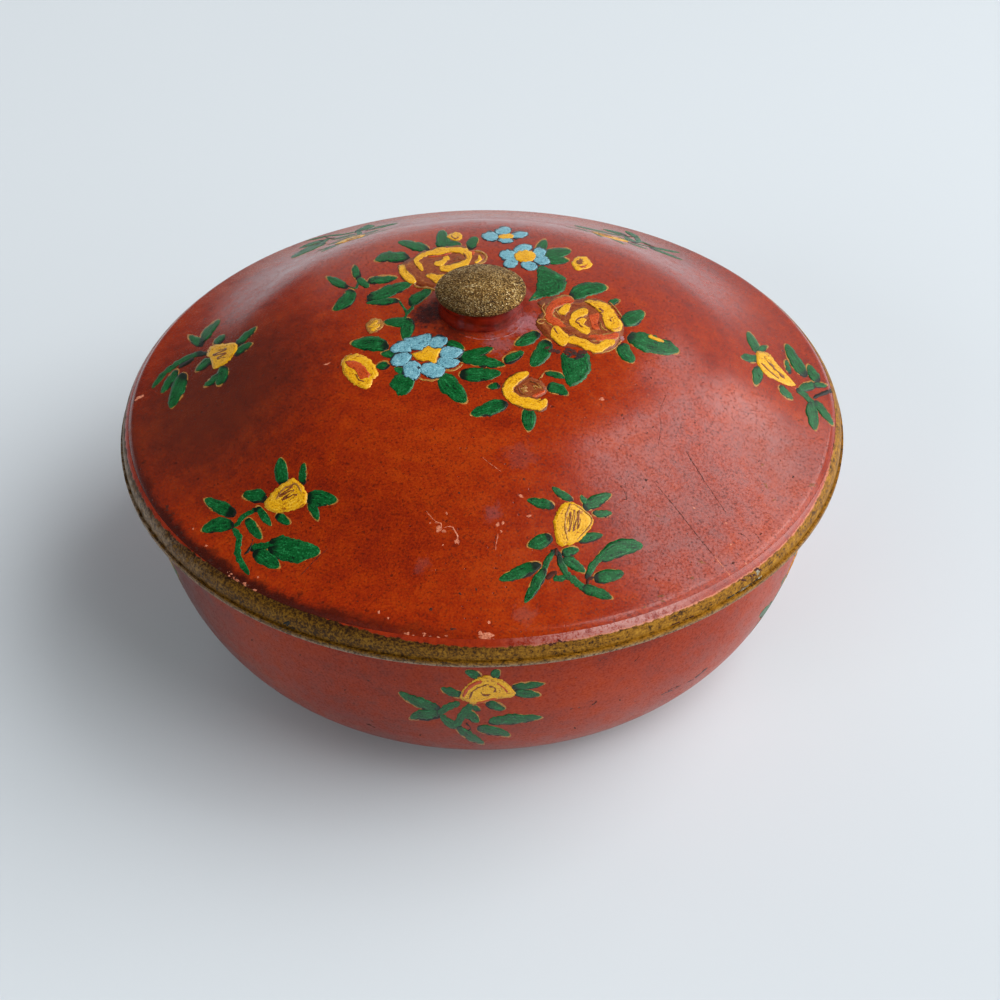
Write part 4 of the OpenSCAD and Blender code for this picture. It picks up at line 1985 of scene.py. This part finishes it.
# Wreath of roses, blue flowers, buds and leaves round the knob
FOLIAGE = (
    *leaves(
        (428, 249, 398, 242, 9), (445, 248, 442, 230, 15, 0.8), (440, 247, 461, 244, 9),
        (468, 247, 478, 238, 10), (409, 257, 375, 260, 10), (357, 278, 355, 265, 8), (347, 286, 327, 277, 8)),
    Leaf(base=Px(353, 290), tip=Px(333, 310), width=13, via=Px(347, 300)),
    *leaves(
        (357, 279, 369, 287, 8), (368, 281, 397, 278, 7.5), (367, 299, 412, 283, 12), (398, 300, 366, 303, 6),
        (409, 303, 431, 290, 10)),
    *strokes(Paint.GREEN, Layer.LEAF, (2.6, 399, 301, 406, 312, 405, 319), (3.0, 406, 315, 415, 304)),
    Stroke(Paint.GREEN, width=2.4, layer=Layer.LEAF, dark=0.8, points=path(346, 285, 356, 288, 360, 280)),
    *leaves(
        (412, 322, 384, 322, 10), (409, 318, 405, 341, 13), (388, 346, 351, 344, 14, 0.7),
        (398, 355, 381, 354, 8), (388, 364, 376, 367, 7), (406, 371, 394, 368, 6)),
    Dab(Paint.GREEN, layer=Layer.LEAF, outline=path(
        389, 384, 396, 375, 406, 374, 415, 379, 410, 392, 399, 396, 395, 391)),
    *leaves(
        (441, 375, 466, 402, 19, 0.3), (446, 343, 464, 349, 9), (458, 358, 493, 348, 9),
        (458, 358, 505, 365, 11), (460, 374, 501, 373, 14, 0.8), (504, 361, 524, 352, 9),
        (539, 333, 515, 345, 11, 0.8), (549, 341, 531, 366, 17, 0.7), (545, 373, 565, 378, 6)),
    Dab(Paint.GREEN, layer=Layer.LEAF, outline=path(
        562, 353, 572, 358, 586, 352, 591, 367, 585, 379, 570, 387, 563, 372)),
    Flecks(Paint.DARK_BROWN, spread=3.0, size=4.4, count=12, layer=Layer.WASH, points=path(
        566, 350, 575, 353, 584, 354)),
    Flecks(Paint.SHADE, spread=3.0, size=2.4, count=8, layer=Layer.EDGE, points=path(
        568, 352, 576, 355, 583, 357)),
    Flecks(Paint.DARK_BROWN, spread=2.0, size=3.0, count=8, layer=Layer.WASH, points=path(
        547, 346, 552, 350, 558, 351)),
    *leaves(
        (547, 387, 568, 394, 11), (506, 403, 471, 414, 14, 0.6), (527, 408, 529, 431, 15, 0.2),
        (499, 385, 488, 387, 6, 1.0), (537, 257, 546, 240, 11), (540, 257, 571, 251, 11),
        (540, 258, 569, 261, 9)),
    Dab(Paint.GREEN, layer=Layer.LEAF, outline=path(
        538, 266, 553, 270, 567, 281, 560, 294, 545, 297, 529, 301, 536, 290, 537, 278)),
    Leaf(base=Px(570, 297), tip=Px(607, 288), width=15, via=Px(587, 289)),
    *leaves((608, 303, 619, 300, 6, 1.0), (621, 321, 644, 312, 15), (628, 336, 679, 351, 18)),
    Stroke(Paint.YELLOW, width=3.0, points=path(648, 336, 664, 342)),
    Leaf(base=Px(619, 345), tip=Px(634, 362), width=14),
)
RIGHT_ROSE = (
    Dab(Paint.WASH, layer=Layer.WASH, outline=path(
        537, 302, 549, 297, 557, 296, 566, 300, 585, 298, 606, 302, 622, 323, 621, 338, 613, 349, 597, 353,
        584, 349, 566, 346, 551, 340, 538, 328, 536, 322, 542, 311)),
    Stroke(Paint.ORANGE, width=8.0, layer=Layer.PETAL, halo=Paint.OCHRE, points=path(
        574, 301.5, 566, 300, 557, 303, 550, 309, 549, 317, 555, 322, 566, 327)),
    Stroke(Paint.WASH, width=6.0, layer=Layer.PETAL, points=path(560, 324, 575, 332, 585, 336, 596, 339)),
    Stroke(Paint.ORANGE, width=6.0, layer=Layer.PETAL, halo=Paint.OCHRE, points=path(
        588, 337, 600, 338, 609, 337, 619, 334.5)),
    Dab(Paint.ORANGE, layer=Layer.PETAL, halo=0.0, outline=path(
        589, 315, 599, 314, 598, 325, 600, 330, 593, 329, 590, 322)),
    Dab(Paint.YELLOW, layer=Layer.TOUCH, halo=1.3, rim=Paint.BROWN, outline=path(
        585, 302, 589, 300, 599, 301.5, 608, 305, 613, 310, 618.5, 318, 622.5, 324.5, 619, 331, 612, 331.5,
        606, 327, 603, 320, 602, 315, 597, 310, 591, 305)),
    *strokes(Paint.YELLOW, Layer.TOUCH,
        (8.0, 571, 318, 579, 313.5, 588, 311), (7.8, 570, 319, 579, 327, 590, 332), halo=Paint.BROWN),
    Spot(Paint.YELLOW, centre=Px(581, 320), wide=9, high=7, layer=Layer.PETAL),
    Dab(Paint.YELLOW, layer=Layer.TOUCH, halo=1.2, rim=Paint.BROWN, outline=path(
        558, 313, 561, 308, 566, 304, 571, 305, 569, 309, 568, 312, 565, 315, 561, 314)),
    *strokes(Paint.YELLOW, Layer.TOUCH,
        (12.5, 551, 331, 556, 333, 562, 339, 568, 342),
        (8.4, 564, 340, 576, 340.5, 587, 345.5, 597, 349, 606, 344, 615, 341.5), halo=Paint.BROWN),
    *strokes(Paint.OCHRE, Layer.LINE,
        (1.6, 546, 320, 540, 319.5, 537, 322, 541, 324, 545, 322), (1.5, 555.5, 309, 557, 313, 561, 317.5),
        (1.6, 544, 303, 542, 309, 545, 315, 543, 318), (1.3, 609, 302, 616, 309, 622, 318),
        (1.3, 600, 322, 602, 328, 607, 331), (1.4, 600, 353, 610, 351, 618, 345, 621, 340)),
    *strokes(Paint.BROWN, Layer.LINE,
        (1.5, 585, 317, 576, 321, 583, 328), (1.4, 598, 309, 603, 311, 600, 313),
        (1.3, 612, 322, 610, 319, 613, 318), (1.3, 554, 328, 556, 332, 558, 335)),
    # Small pale painted highlight on the rose's edge.
    Spot(Paint.PAINTED_HIGHLIGHT, centre=Px(622, 338), wide=4, high=4, layer=Layer.TOUCH),
)
LEFT_ROSE = (
    Dab(Paint.WASH, layer=Layer.WASH, outline=path(
        399, 267, 412, 257, 430, 252, 456, 249, 482, 252, 486, 258, 468, 269, 448, 281, 434, 289, 418, 286,
        404, 277)),
    Dab(Paint.YELLOW, layer=Layer.TOUCH, halo=1.0, rim=Paint.BROWN, outline=path(
        398, 267, 401, 265, 405, 266, 406, 270, 414, 277, 416, 281, 414, 284, 408, 282, 402, 277)),
    Stroke(Paint.OCHRE, width=2.0, layer=Layer.LINE, points=path(414, 284, 418, 287.5, 429, 288, 437, 291)),
    *strokes(Paint.YELLOW, Layer.TOUCH,
        (4.8, 423, 271, 419, 265, 416, 261, 422, 255.5, 430, 252.5),
        (6.2, 426, 253.5, 436, 252, 447, 250.5, 457, 249.5, 465, 252, 469, 257, 468, 262),
        (6.6, 469, 260, 462, 265, 452, 268, 444, 269, 441, 266),
        (5.0, 434, 264, 442, 263, 446, 259, 449, 257), halo=Paint.BROWN, halo_px=0.9),
    Dab(Paint.YELLOW, layer=Layer.TOUCH, halo=0.9, rim=Paint.BROWN, outline=path(
        426, 276, 430, 274, 437, 275, 446, 275, 442, 281, 437, 284, 432, 280)),
    Stroke(Paint.OCHRE, width=2.4, layer=Layer.TOUCH, points=path(
        474, 251, 481, 252, 486.5, 256.5, 485, 261, 479, 264, 469, 267)),
    Stroke(Paint.YELLOW, width=3.4, points=path(478, 255.5, 480, 259, 475, 263)),
    Spot(Paint.ORANGE, centre=Px(472, 253), wide=6, high=4, layer=Layer.PETAL),
    Stroke(Paint.ORANGE, width=1.2, layer=Layer.LINE, points=path(428, 257, 440, 256, 452, 253)),
    Flecks(Paint.BROWN, spread=1.6, size=1.8, count=7, layer=Layer.LINE, points=path(
        452, 257, 456, 260, 460, 258)),
    Stroke(Paint.BROWN, width=1.2, layer=Layer.LINE, points=path(463, 253, 466, 257, 464, 261)),
)
SMALL_ROSE = (
    Dab(Paint.WASH, layer=Layer.WASH, outline=path(516, 384, 531, 378, 543, 383, 546, 393, 530, 400, 516, 396)),
    Stroke(Paint.YELLOW, width=10.4, halo=Paint.BROWN, points=path(
        529, 373, 518, 378, 511, 383, 508, 390, 512, 397.5, 523, 402.5, 534, 404, 542, 405, 546, 399)),
    Spot(Paint.YELLOW, centre=Px(508, 391), wide=9, high=14, layer=Layer.TOUCH),
    Scribble(Paint.OCHRE, centre=Px(524, 389), long=8, deep=7, runs=4, width=1.2),
    Scribble(Paint.OCHRE, centre=Px(537, 387), long=9, deep=6, tilt=35, runs=3, width=1.1),
    *strokes(Paint.BROWN, Layer.LINE, (1.6, 518, 386, 521, 393, 528, 395), (1.8, 530, 381, 537, 384, 544, 388)),
    Stroke(Paint.ORANGE, width=3.6, layer=Layer.LINE, points=path(532, 396.5, 538, 394.5, 545, 391)),
    Stroke(Paint.OCHRE, width=1.4, layer=Layer.LINE, points=path(539, 380, 544, 373)),
)
BUDS = (
    Dab(Paint.YELLOW, outline=path(
        342, 363, 346, 357, 357, 354, 364, 356, 371, 359.5, 375, 367, 378, 375, 373, 380, 370, 387, 363, 389,
        355, 385, 348, 379, 343, 372)),
    Dab(Paint.ORANGE, layer=Layer.TOUCH, halo=0.8, rim=Paint.BROWN, outline=path(
        345, 362, 350, 361, 357, 361.5, 363, 365, 367, 370, 370, 375, 367, 378, 362, 379.5, 358, 376, 356, 371,
        349, 367)),
    Stroke(Paint.BROWN, width=1.3, layer=Layer.LINE, points=path(356, 374, 359, 380, 364, 382)),
    Stroke(Paint.OCHRE, width=1.3, layer=Layer.LINE, points=path(341, 366, 344, 358, 352, 354)),
    Dab(Paint.OCHRE, halo=0.0, outline=path(366, 325, 372, 319, 380, 319, 384, 325, 378, 331, 369, 333)),
    Scribble(Paint.YELLOW, centre=Px(374, 326), long=13, deep=9, tilt=-20, width=1.8),
    Dab(Paint.YELLOW, outline=path(447, 236, 453, 233, 461, 234, 462, 238, 458, 241, 450, 239)),
    Stroke(Paint.BROWN, width=1.2, layer=Layer.LINE, points=path(451, 236, 455, 239, 459, 237)),
    Dab(Paint.YELLOW, outline=path(572, 262, 577, 257, 586, 257, 592, 263, 590, 268, 579, 270, 573, 267)),
    Spot(Paint.BROWN, centre=Px(581, 262), wide=7, high=5, layer=Layer.TOUCH),
    Stroke(Paint.ORANGE, width=1.6, layer=Layer.LINE, points=path(577, 266, 583, 267, 587, 265)),
)
FRONT_BLUE = (
    *strokes(Paint.OCHRE, Layer.WASH, (2.0, 418, 378, 429, 381, 439, 379), (2.0, 444, 370, 454, 370, 463, 364)),
    *blue_flower(
        path(
            412, 354, 421, 351, 428, 346.5, 434, 349, 441, 349, 439, 354, 435, 364, 429, 361, 421, 361,
            416, 358.5),
        path(391, 349, 394, 346, 401, 342.5, 409, 343, 410, 348, 409, 351.5, 401, 351.5, 393, 352),
        path(
            405, 339, 415, 338, 421, 336, 427, 334.5, 430, 337, 429, 343, 424, 347, 417, 349, 411, 347,
            408, 343),
        path(430, 343.5, 433, 339, 439, 337, 446, 338.5, 445, 343.5, 439, 347, 432, 347),
        path(441, 350.5, 444, 348, 451, 348, 460, 349.5, 462, 352, 457, 357, 449, 357.5, 442, 357),
        path(438, 362, 441, 358.5, 450, 358.5, 458, 361, 456, 365, 449, 367, 441, 365.5),
        path(420, 369, 424, 365, 433, 364, 443, 367.5, 444, 371, 441, 375.5, 433, 377, 426, 374.5, 422, 373),
        path(404, 367.5, 408, 363, 415, 362, 420, 366, 420, 372, 417, 377, 413.5, 379, 409, 376.5, 405, 375.5),
        path(392, 360.5, 397, 355, 404, 353.5, 410, 355, 410, 358.5, 404.5, 364, 397, 365.5, 393, 364.5),
    ),
    Spot(Paint.NAVY, centre=Px(419, 368), wide=4, high=3, layer=Layer.TOUCH),
)
BACK_BLUE = blue_flower(
    path(514, 257, 519, 251, 530, 251, 536, 255, 531, 261, 520, 262),
    petal(Px(514, 251), Px(531, 247), 7), petal(Px(534, 252), Px(545, 253), 8),
    petal(Px(534, 259), Px(549, 262), 7), petal(Px(522, 264), Px(536, 267), 8),
    petal(Px(517, 261), Px(505, 265), 8), petal(Px(515, 255), Px(500, 255), 8))
FAR_BLUE = blue_flower(
    path(497, 237, 505, 234, 513, 235, 512, 238, 503, 239),
    petal(Px(498, 237), Px(483, 236), 7), petal(Px(496, 232), Px(510, 230), 6),
    petal(Px(511, 236), Px(527, 234), 5), petal(Px(499, 240), Px(512, 241), 4))
WREATH: Marks = (*FOLIAGE, *RIGHT_ROSE, *LEFT_ROSE, *SMALL_ROSE, *BUDS, *FRONT_BLUE, *BACK_BLUE, *FAR_BLUE)


# Sprig on the front of the bowl
BOWL_SPRIG: Marks = (
    *leaves(
        (480, 677, 465, 671, 8), (494, 678, 499, 670, 9), (462, 695, 441, 688, 8, 0.8),
        (439, 708, 399, 692, 10), (440, 714, 410, 718, 10)),
    *strokes(Paint.GREEN, Layer.LEAF,
        (7, 438, 714, 448, 707, 460, 703), (8, 440, 715, 454, 725, 463, 714, 472, 704)),
    *leaves(
        (464, 711, 479, 722, 10), (472, 707, 480, 710, 5), (486, 703, 505, 709, 8, 0.9),
        (512, 687, 544, 684, 7), (513, 692, 540, 695, 8), (489, 721, 542, 717, 9, 0.2), (477, 728, 510, 735, 9),
        (457, 727, 484, 743, 8)),
    Stroke(Paint.SHADE, width=2, layer=Layer.WASH, points=path(466, 723, 471, 728, 468, 731)),
    Dab(Paint.YELLOW, outline=path(
        460, 697, 465, 687, 475, 679.5, 485, 676, 498, 678, 506, 683, 515, 692, 512, 696.5, 495, 699.5,
        475, 703.5, 467, 702)),
    Stroke(Paint.ORANGE, width=3.4, points=path(463, 697, 466.5, 690, 474, 684, 482, 681)),
    Stroke(Paint.BROWN, width=1.0, layer=Layer.LINE, points=path(469, 699, 473, 691, 481, 686, 489, 684)),
    Stroke(Paint.ORANGE, width=1.8, points=path(476, 703, 487, 700.5, 497, 698)),
    *strokes(Paint.BROWN, Layer.LINE,
        (1.2, 481, 691, 484, 695, 491, 694), (1.2, 489, 685.5, 495, 688, 494, 692)),
    Stroke(Paint.ORANGE, width=1.4, points=path(497, 682.5, 504, 688, 508, 693)),
)


# Chips and scratches in the lid's red paint, and a painted shadow and highlight at the knob's foot
CHIPS = spots(Paint.PRIMER,
    (439, 529, 7, 7, 40), (443, 531, 5, 4), (446.5, 513, 2.2, 3.5), (443, 545, 2.2, 2), (430, 523, 2, 2),
    (457, 541, 5, 6, 30), (498, 524, 3.6, 6, 10), (503, 523, 3, 4), (501, 531, 4, 2, 40),
    (486, 637, 17, 10, -8), (481, 634, 8, 5, 20), (492, 640, 7, 5), (379, 612, 3, 3.4), (388, 618, 2.6, 2.6),
    (521, 496, 6, 3, 20), (529, 516, 4, 3), (140, 397, 11, 2.6, -25), (136, 400, 4, 2, -25), (234, 578, 2.5, 3),
    (237.5, 581, 3, 2.5), (241, 587, 4, 3, 30), (245, 585, 3, 2), (248, 589, 3.4, 2.5, 30),
    (254, 591, 4.4, 2.4, 20), (258, 577, 2.4, 2.4), (206.5, 545.7, 2.6, 2), (193, 529, 2, 2),
    (389, 636, 5, 3, 10), (408, 634, 4, 3), (489, 622, 4, 4), (620, 340, 5, 6), (602, 399, 5, 4),
    (327, 364, 7, 1.6, -20), (694, 508, 2.4, 2), (726, 523, 2.4, 2), (731, 544.5, 2.6, 2))
DENTS = spots(Paint.DARK_BROWN,
    (646, 480, 4, 3.4), (793, 477, 3, 2.8), (476, 589, 2.2, 4), (431, 609, 4, 3.4), (524, 479, 2.4, 2.4),
    (622, 415, 2.4, 2.4), (453, 629, 7, 3), (460, 594, 3, 3), (459, 493, 2.6, 2.6), (651, 378, 2, 2),
    (653, 427, 2, 2), (552, 641, 6, 3), (761, 534, 2.4, 2.2), (733, 563, 3, 2.4), (691, 597, 2.4, 2))
RUBS = spots(Paint.BROWN,
    (812, 485, 8, 5), (762, 465, 4, 3), (766, 486, 2.6, 8, -30), (702, 562, 8, 3, 20), (661, 596, 9, 3, -10),
    (663, 601, 6, 2), (645, 607, 5, 2.4, -20), (692, 578, 5, 3), (774, 500, 4, 2), (658, 516, 6, 2, 20))
FLAKES = strokes(Paint.PRIMER, Layer.HALO,
    (1.7, 425.8, 510.5, 431, 516.8, 437.4, 522.5), (2.6, 434.6, 522.5, 440.9, 523.2, 440.9, 528),
    (1.4, 443.7, 527.4, 450, 526.7, 453.5, 529.5),
    (2.6, 452, 526, 454.9, 530.9, 457.7, 536.5, 456.3, 541.4, 459, 544.2),
    (1.1, 498.4, 533.7, 496.4, 542.1, 495.6, 550.5), (1.5, 714, 556, 724, 568, 733, 579),
    (2.4, 745, 562, 747, 565, 750, 570), (0.9, 482, 457, 492, 465, 502, 472))
SCRATCHES = strokes(Paint.DARK_BROWN, Layer.HALO,
    (1.1, 686, 451, 707, 485, 727, 514), (1.4, 655, 483, 679, 512, 700, 539, 714, 556),
    (1.3, 737, 553, 742, 558, 747, 565), (1.3, 738, 533, 745, 536, 751, 543),
    (1.0, 754, 532, 759, 538, 765, 547), (1.2, 300, 576, 312, 563, 328, 548),
    (1.3, 496.7, 533.7, 494.2, 542.1, 493.9, 549.1), (0.9, 668, 392, 660, 410, 661, 428, 658, 447),
    (0.9, 620, 486, 623, 489, 627, 499, 622, 499))
# Painted contact shadow round the knob's foot, and a pale painted highlight on the crease in front of it.
SEAT_SHADOW_AND_HIGHLIGHT = (
    Stroke(Paint.DARK_BROWN, width=1.6, layer=Layer.HALO, points=path(441, 317, 452, 328, 464, 334, 478, 337)),
    *strokes(Paint.PAINTED_HIGHLIGHT, Layer.HALO,
        (0.9, 464, 336, 478, 339, 494, 339.5), (1.3, 490, 339, 508, 335.5, 518, 329, 525, 320)),
)
SHED_FLAKES = (
    Flecks(Paint.PRIMER, spread=3.0, size=2.0, count=12, points=path(226, 570, 238, 580, 256, 592)),
    Flecks(Paint.DARK_BROWN, spread=3.0, size=2.4, count=34, points=path(166, 505, 188, 542, 224, 572, 262, 597)),
    Flecks(Paint.PRIMER, spread=2.0, size=1.8, count=8, points=path(404, 632, 424, 635, 446, 638)),
)
# The lid's wear, with the painted shadow and highlight at the knob's foot.
LID_WEAR_AND_SEAT_LIGHT: Marks = (*CHIPS, *DENTS, *RUBS, *FLAKES, *SCRATCHES, *SEAT_SHADOW_AND_HIGHLIGHT, *SHED_FLAKES)


# Chips in the gilded hoop
BARE_TIN = spots(Paint.TIN,
    (758, 572, 4, 5, 20), (763, 579, 4, 6, 40), (747, 590, 7, 6, -30), (745, 594, 5, 3),
    (749, 587, 4, 3), layer=Layer.INK)
HOOP_DIRT = (
    Flecks(Paint.SHADE, spread=2.0, size=2.6, count=16, points=path(730, 598, 740, 594, 752, 589, 764, 579)),
    Flecks(Paint.DARK_BROWN, spread=2.0, size=2.2, count=8, points=path(742, 582, 752, 574, 760, 567)),
    Flecks(Paint.DARK_BROWN, spread=1.5, size=2.6, count=8, points=path(675, 629, 686, 626, 700, 620)),
    Flecks(Paint.DARK_BROWN, spread=1.0, size=2.0, count=5, points=path(545, 643, 556, 643, 566, 641)),
)
HOOP_HOOK = (
    Stroke(Paint.SHADE, width=2.4, layer=Layer.LEAF, points=path(283, 624, 290, 622, 287, 626, 293, 632)),
)
HOOP_WEAR: Marks = (*BARE_TIN, *HOOP_DIRT, *HOOP_HOOK)


# Scuffs on the bowl
SCUFFS = strokes(Paint.SCUFF, Layer.HALO,
    (1.8, 661, 695, 667, 692, 673, 690), (1.4, 675, 689, 678, 687, 681, 685.5),
    (1.6, 686, 683, 690, 681, 694, 679), (3.0, 695, 678, 701, 673, 708, 667.5))
BOWL_SCRATCHES = strokes(Paint.DARK_BROWN, Layer.HALO,
    (1.6, 589, 707, 593, 704, 597, 701), (1.2, 634, 662, 637, 659, 640, 656),
    (2.2, 366, 724, 370, 725, 375, 728), (1.2, 668, 691, 673, 688, 679, 686))
BOWL_DOTS = spots(Paint.DARK_BROWN,
    (300, 655, 2, 2), (345, 690, 2.4, 2), (575, 728, 2.4, 2), (620, 700, 2, 2), (252, 640, 2, 2),
    (420, 735, 3, 2))
BOWL_WEAR: Marks = (*SCUFFS, *BOWL_SCRATCHES, *BOWL_DOTS)


@dataclass(frozen=True)
class Decoration:
    """All the painted flowers and the wear, on the lid and round the bowl."""

    camera: PhotoCamera
    lid: Lid
    bowl: Bowl
    bowl_turns: tuple[tuple[float, float], ...] = (
        (0.0, 0.0), (66.5, 10.0), (138.0, 6.0), (222.0, 4.0), (289.0, 8.0))
    back_right_turn: float = 131.0
    back_left_turn: float = 252.0

    def build(self) -> None:
        """Builds every sprig as a piece of its own."""
        upper = self.lid.surface()
        for name, marks, turn in (
            ("lid_sprig_front_left", FRONT_LEFT_SPRIG, 0.0),
            ("lid_sprig_front_right", FRONT_RIGHT_SPRIG, 0.0),
            ("lid_sprig_left", LEFT_SPRIG, 0.0),
            ("lid_sprig_right", RIGHT_SPRIG, 0.0),
            ("lid_sprig_back_right", FRONT_RIGHT_SPRIG, self.back_right_turn),
            ("lid_sprig_back_left", FRONT_LEFT_SPRIG, self.back_left_turn),
            ("lid_wreath", WREATH, 0.0),
            ("lid_wear_and_seat_light", LID_WEAR_AND_SEAT_LIGHT, 0.0),
        ):
            Ornament(name, Body.LID, marks, turn).build(self.camera, upper)
        Ornament("hoop_wear", Body.LID, HOOP_WEAR).build(self.camera, self.lid.hoop_surface())
        wall = self.bowl.surface()
        for i, (turn, drop) in enumerate(self.bowl_turns):
            Ornament(f"bowl_sprig_{i + 1}", Body.BOWL, BOWL_SPRIG, turn, drop).build(self.camera, wall)
        Ornament("bowl_wear", Body.BOWL, BOWL_WEAR).build(self.camera, wall)


def main() -> None:
    """Builds the box, its decoration and the studio."""
    logging.basicConfig(level=logging.INFO, format="%(message)s")
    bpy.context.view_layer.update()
    hoop_low, hoop_high = (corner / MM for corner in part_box("lid_rim_hoop"))
    bowl_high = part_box("bowl_shell")[1] / MM
    cap_low, cap_high = (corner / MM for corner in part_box("knob_cap"))
    neck_low, neck_high = (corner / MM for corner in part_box("knob_neck"))

    camera = PhotoCamera()
    camera.build()
    Studio().build()
    bowl = Bowl(mouth_r=bowl_high.x, mouth_z=bowl_high.z)
    bowl.build()
    lid = Lid(rim_r=hoop_high.x, rim_z=hoop_low.z)
    lid.build()
    Knob(cap_r=cap_high.x, cap_low=cap_low.z, cap_high=cap_high.z,
         neck_r=neck_high.x, neck_low=neck_low.z).build()
    HiddenSteel().dress()
    Decoration(camera, lid, bowl).build()


if __name__ == "__main__":
    main()
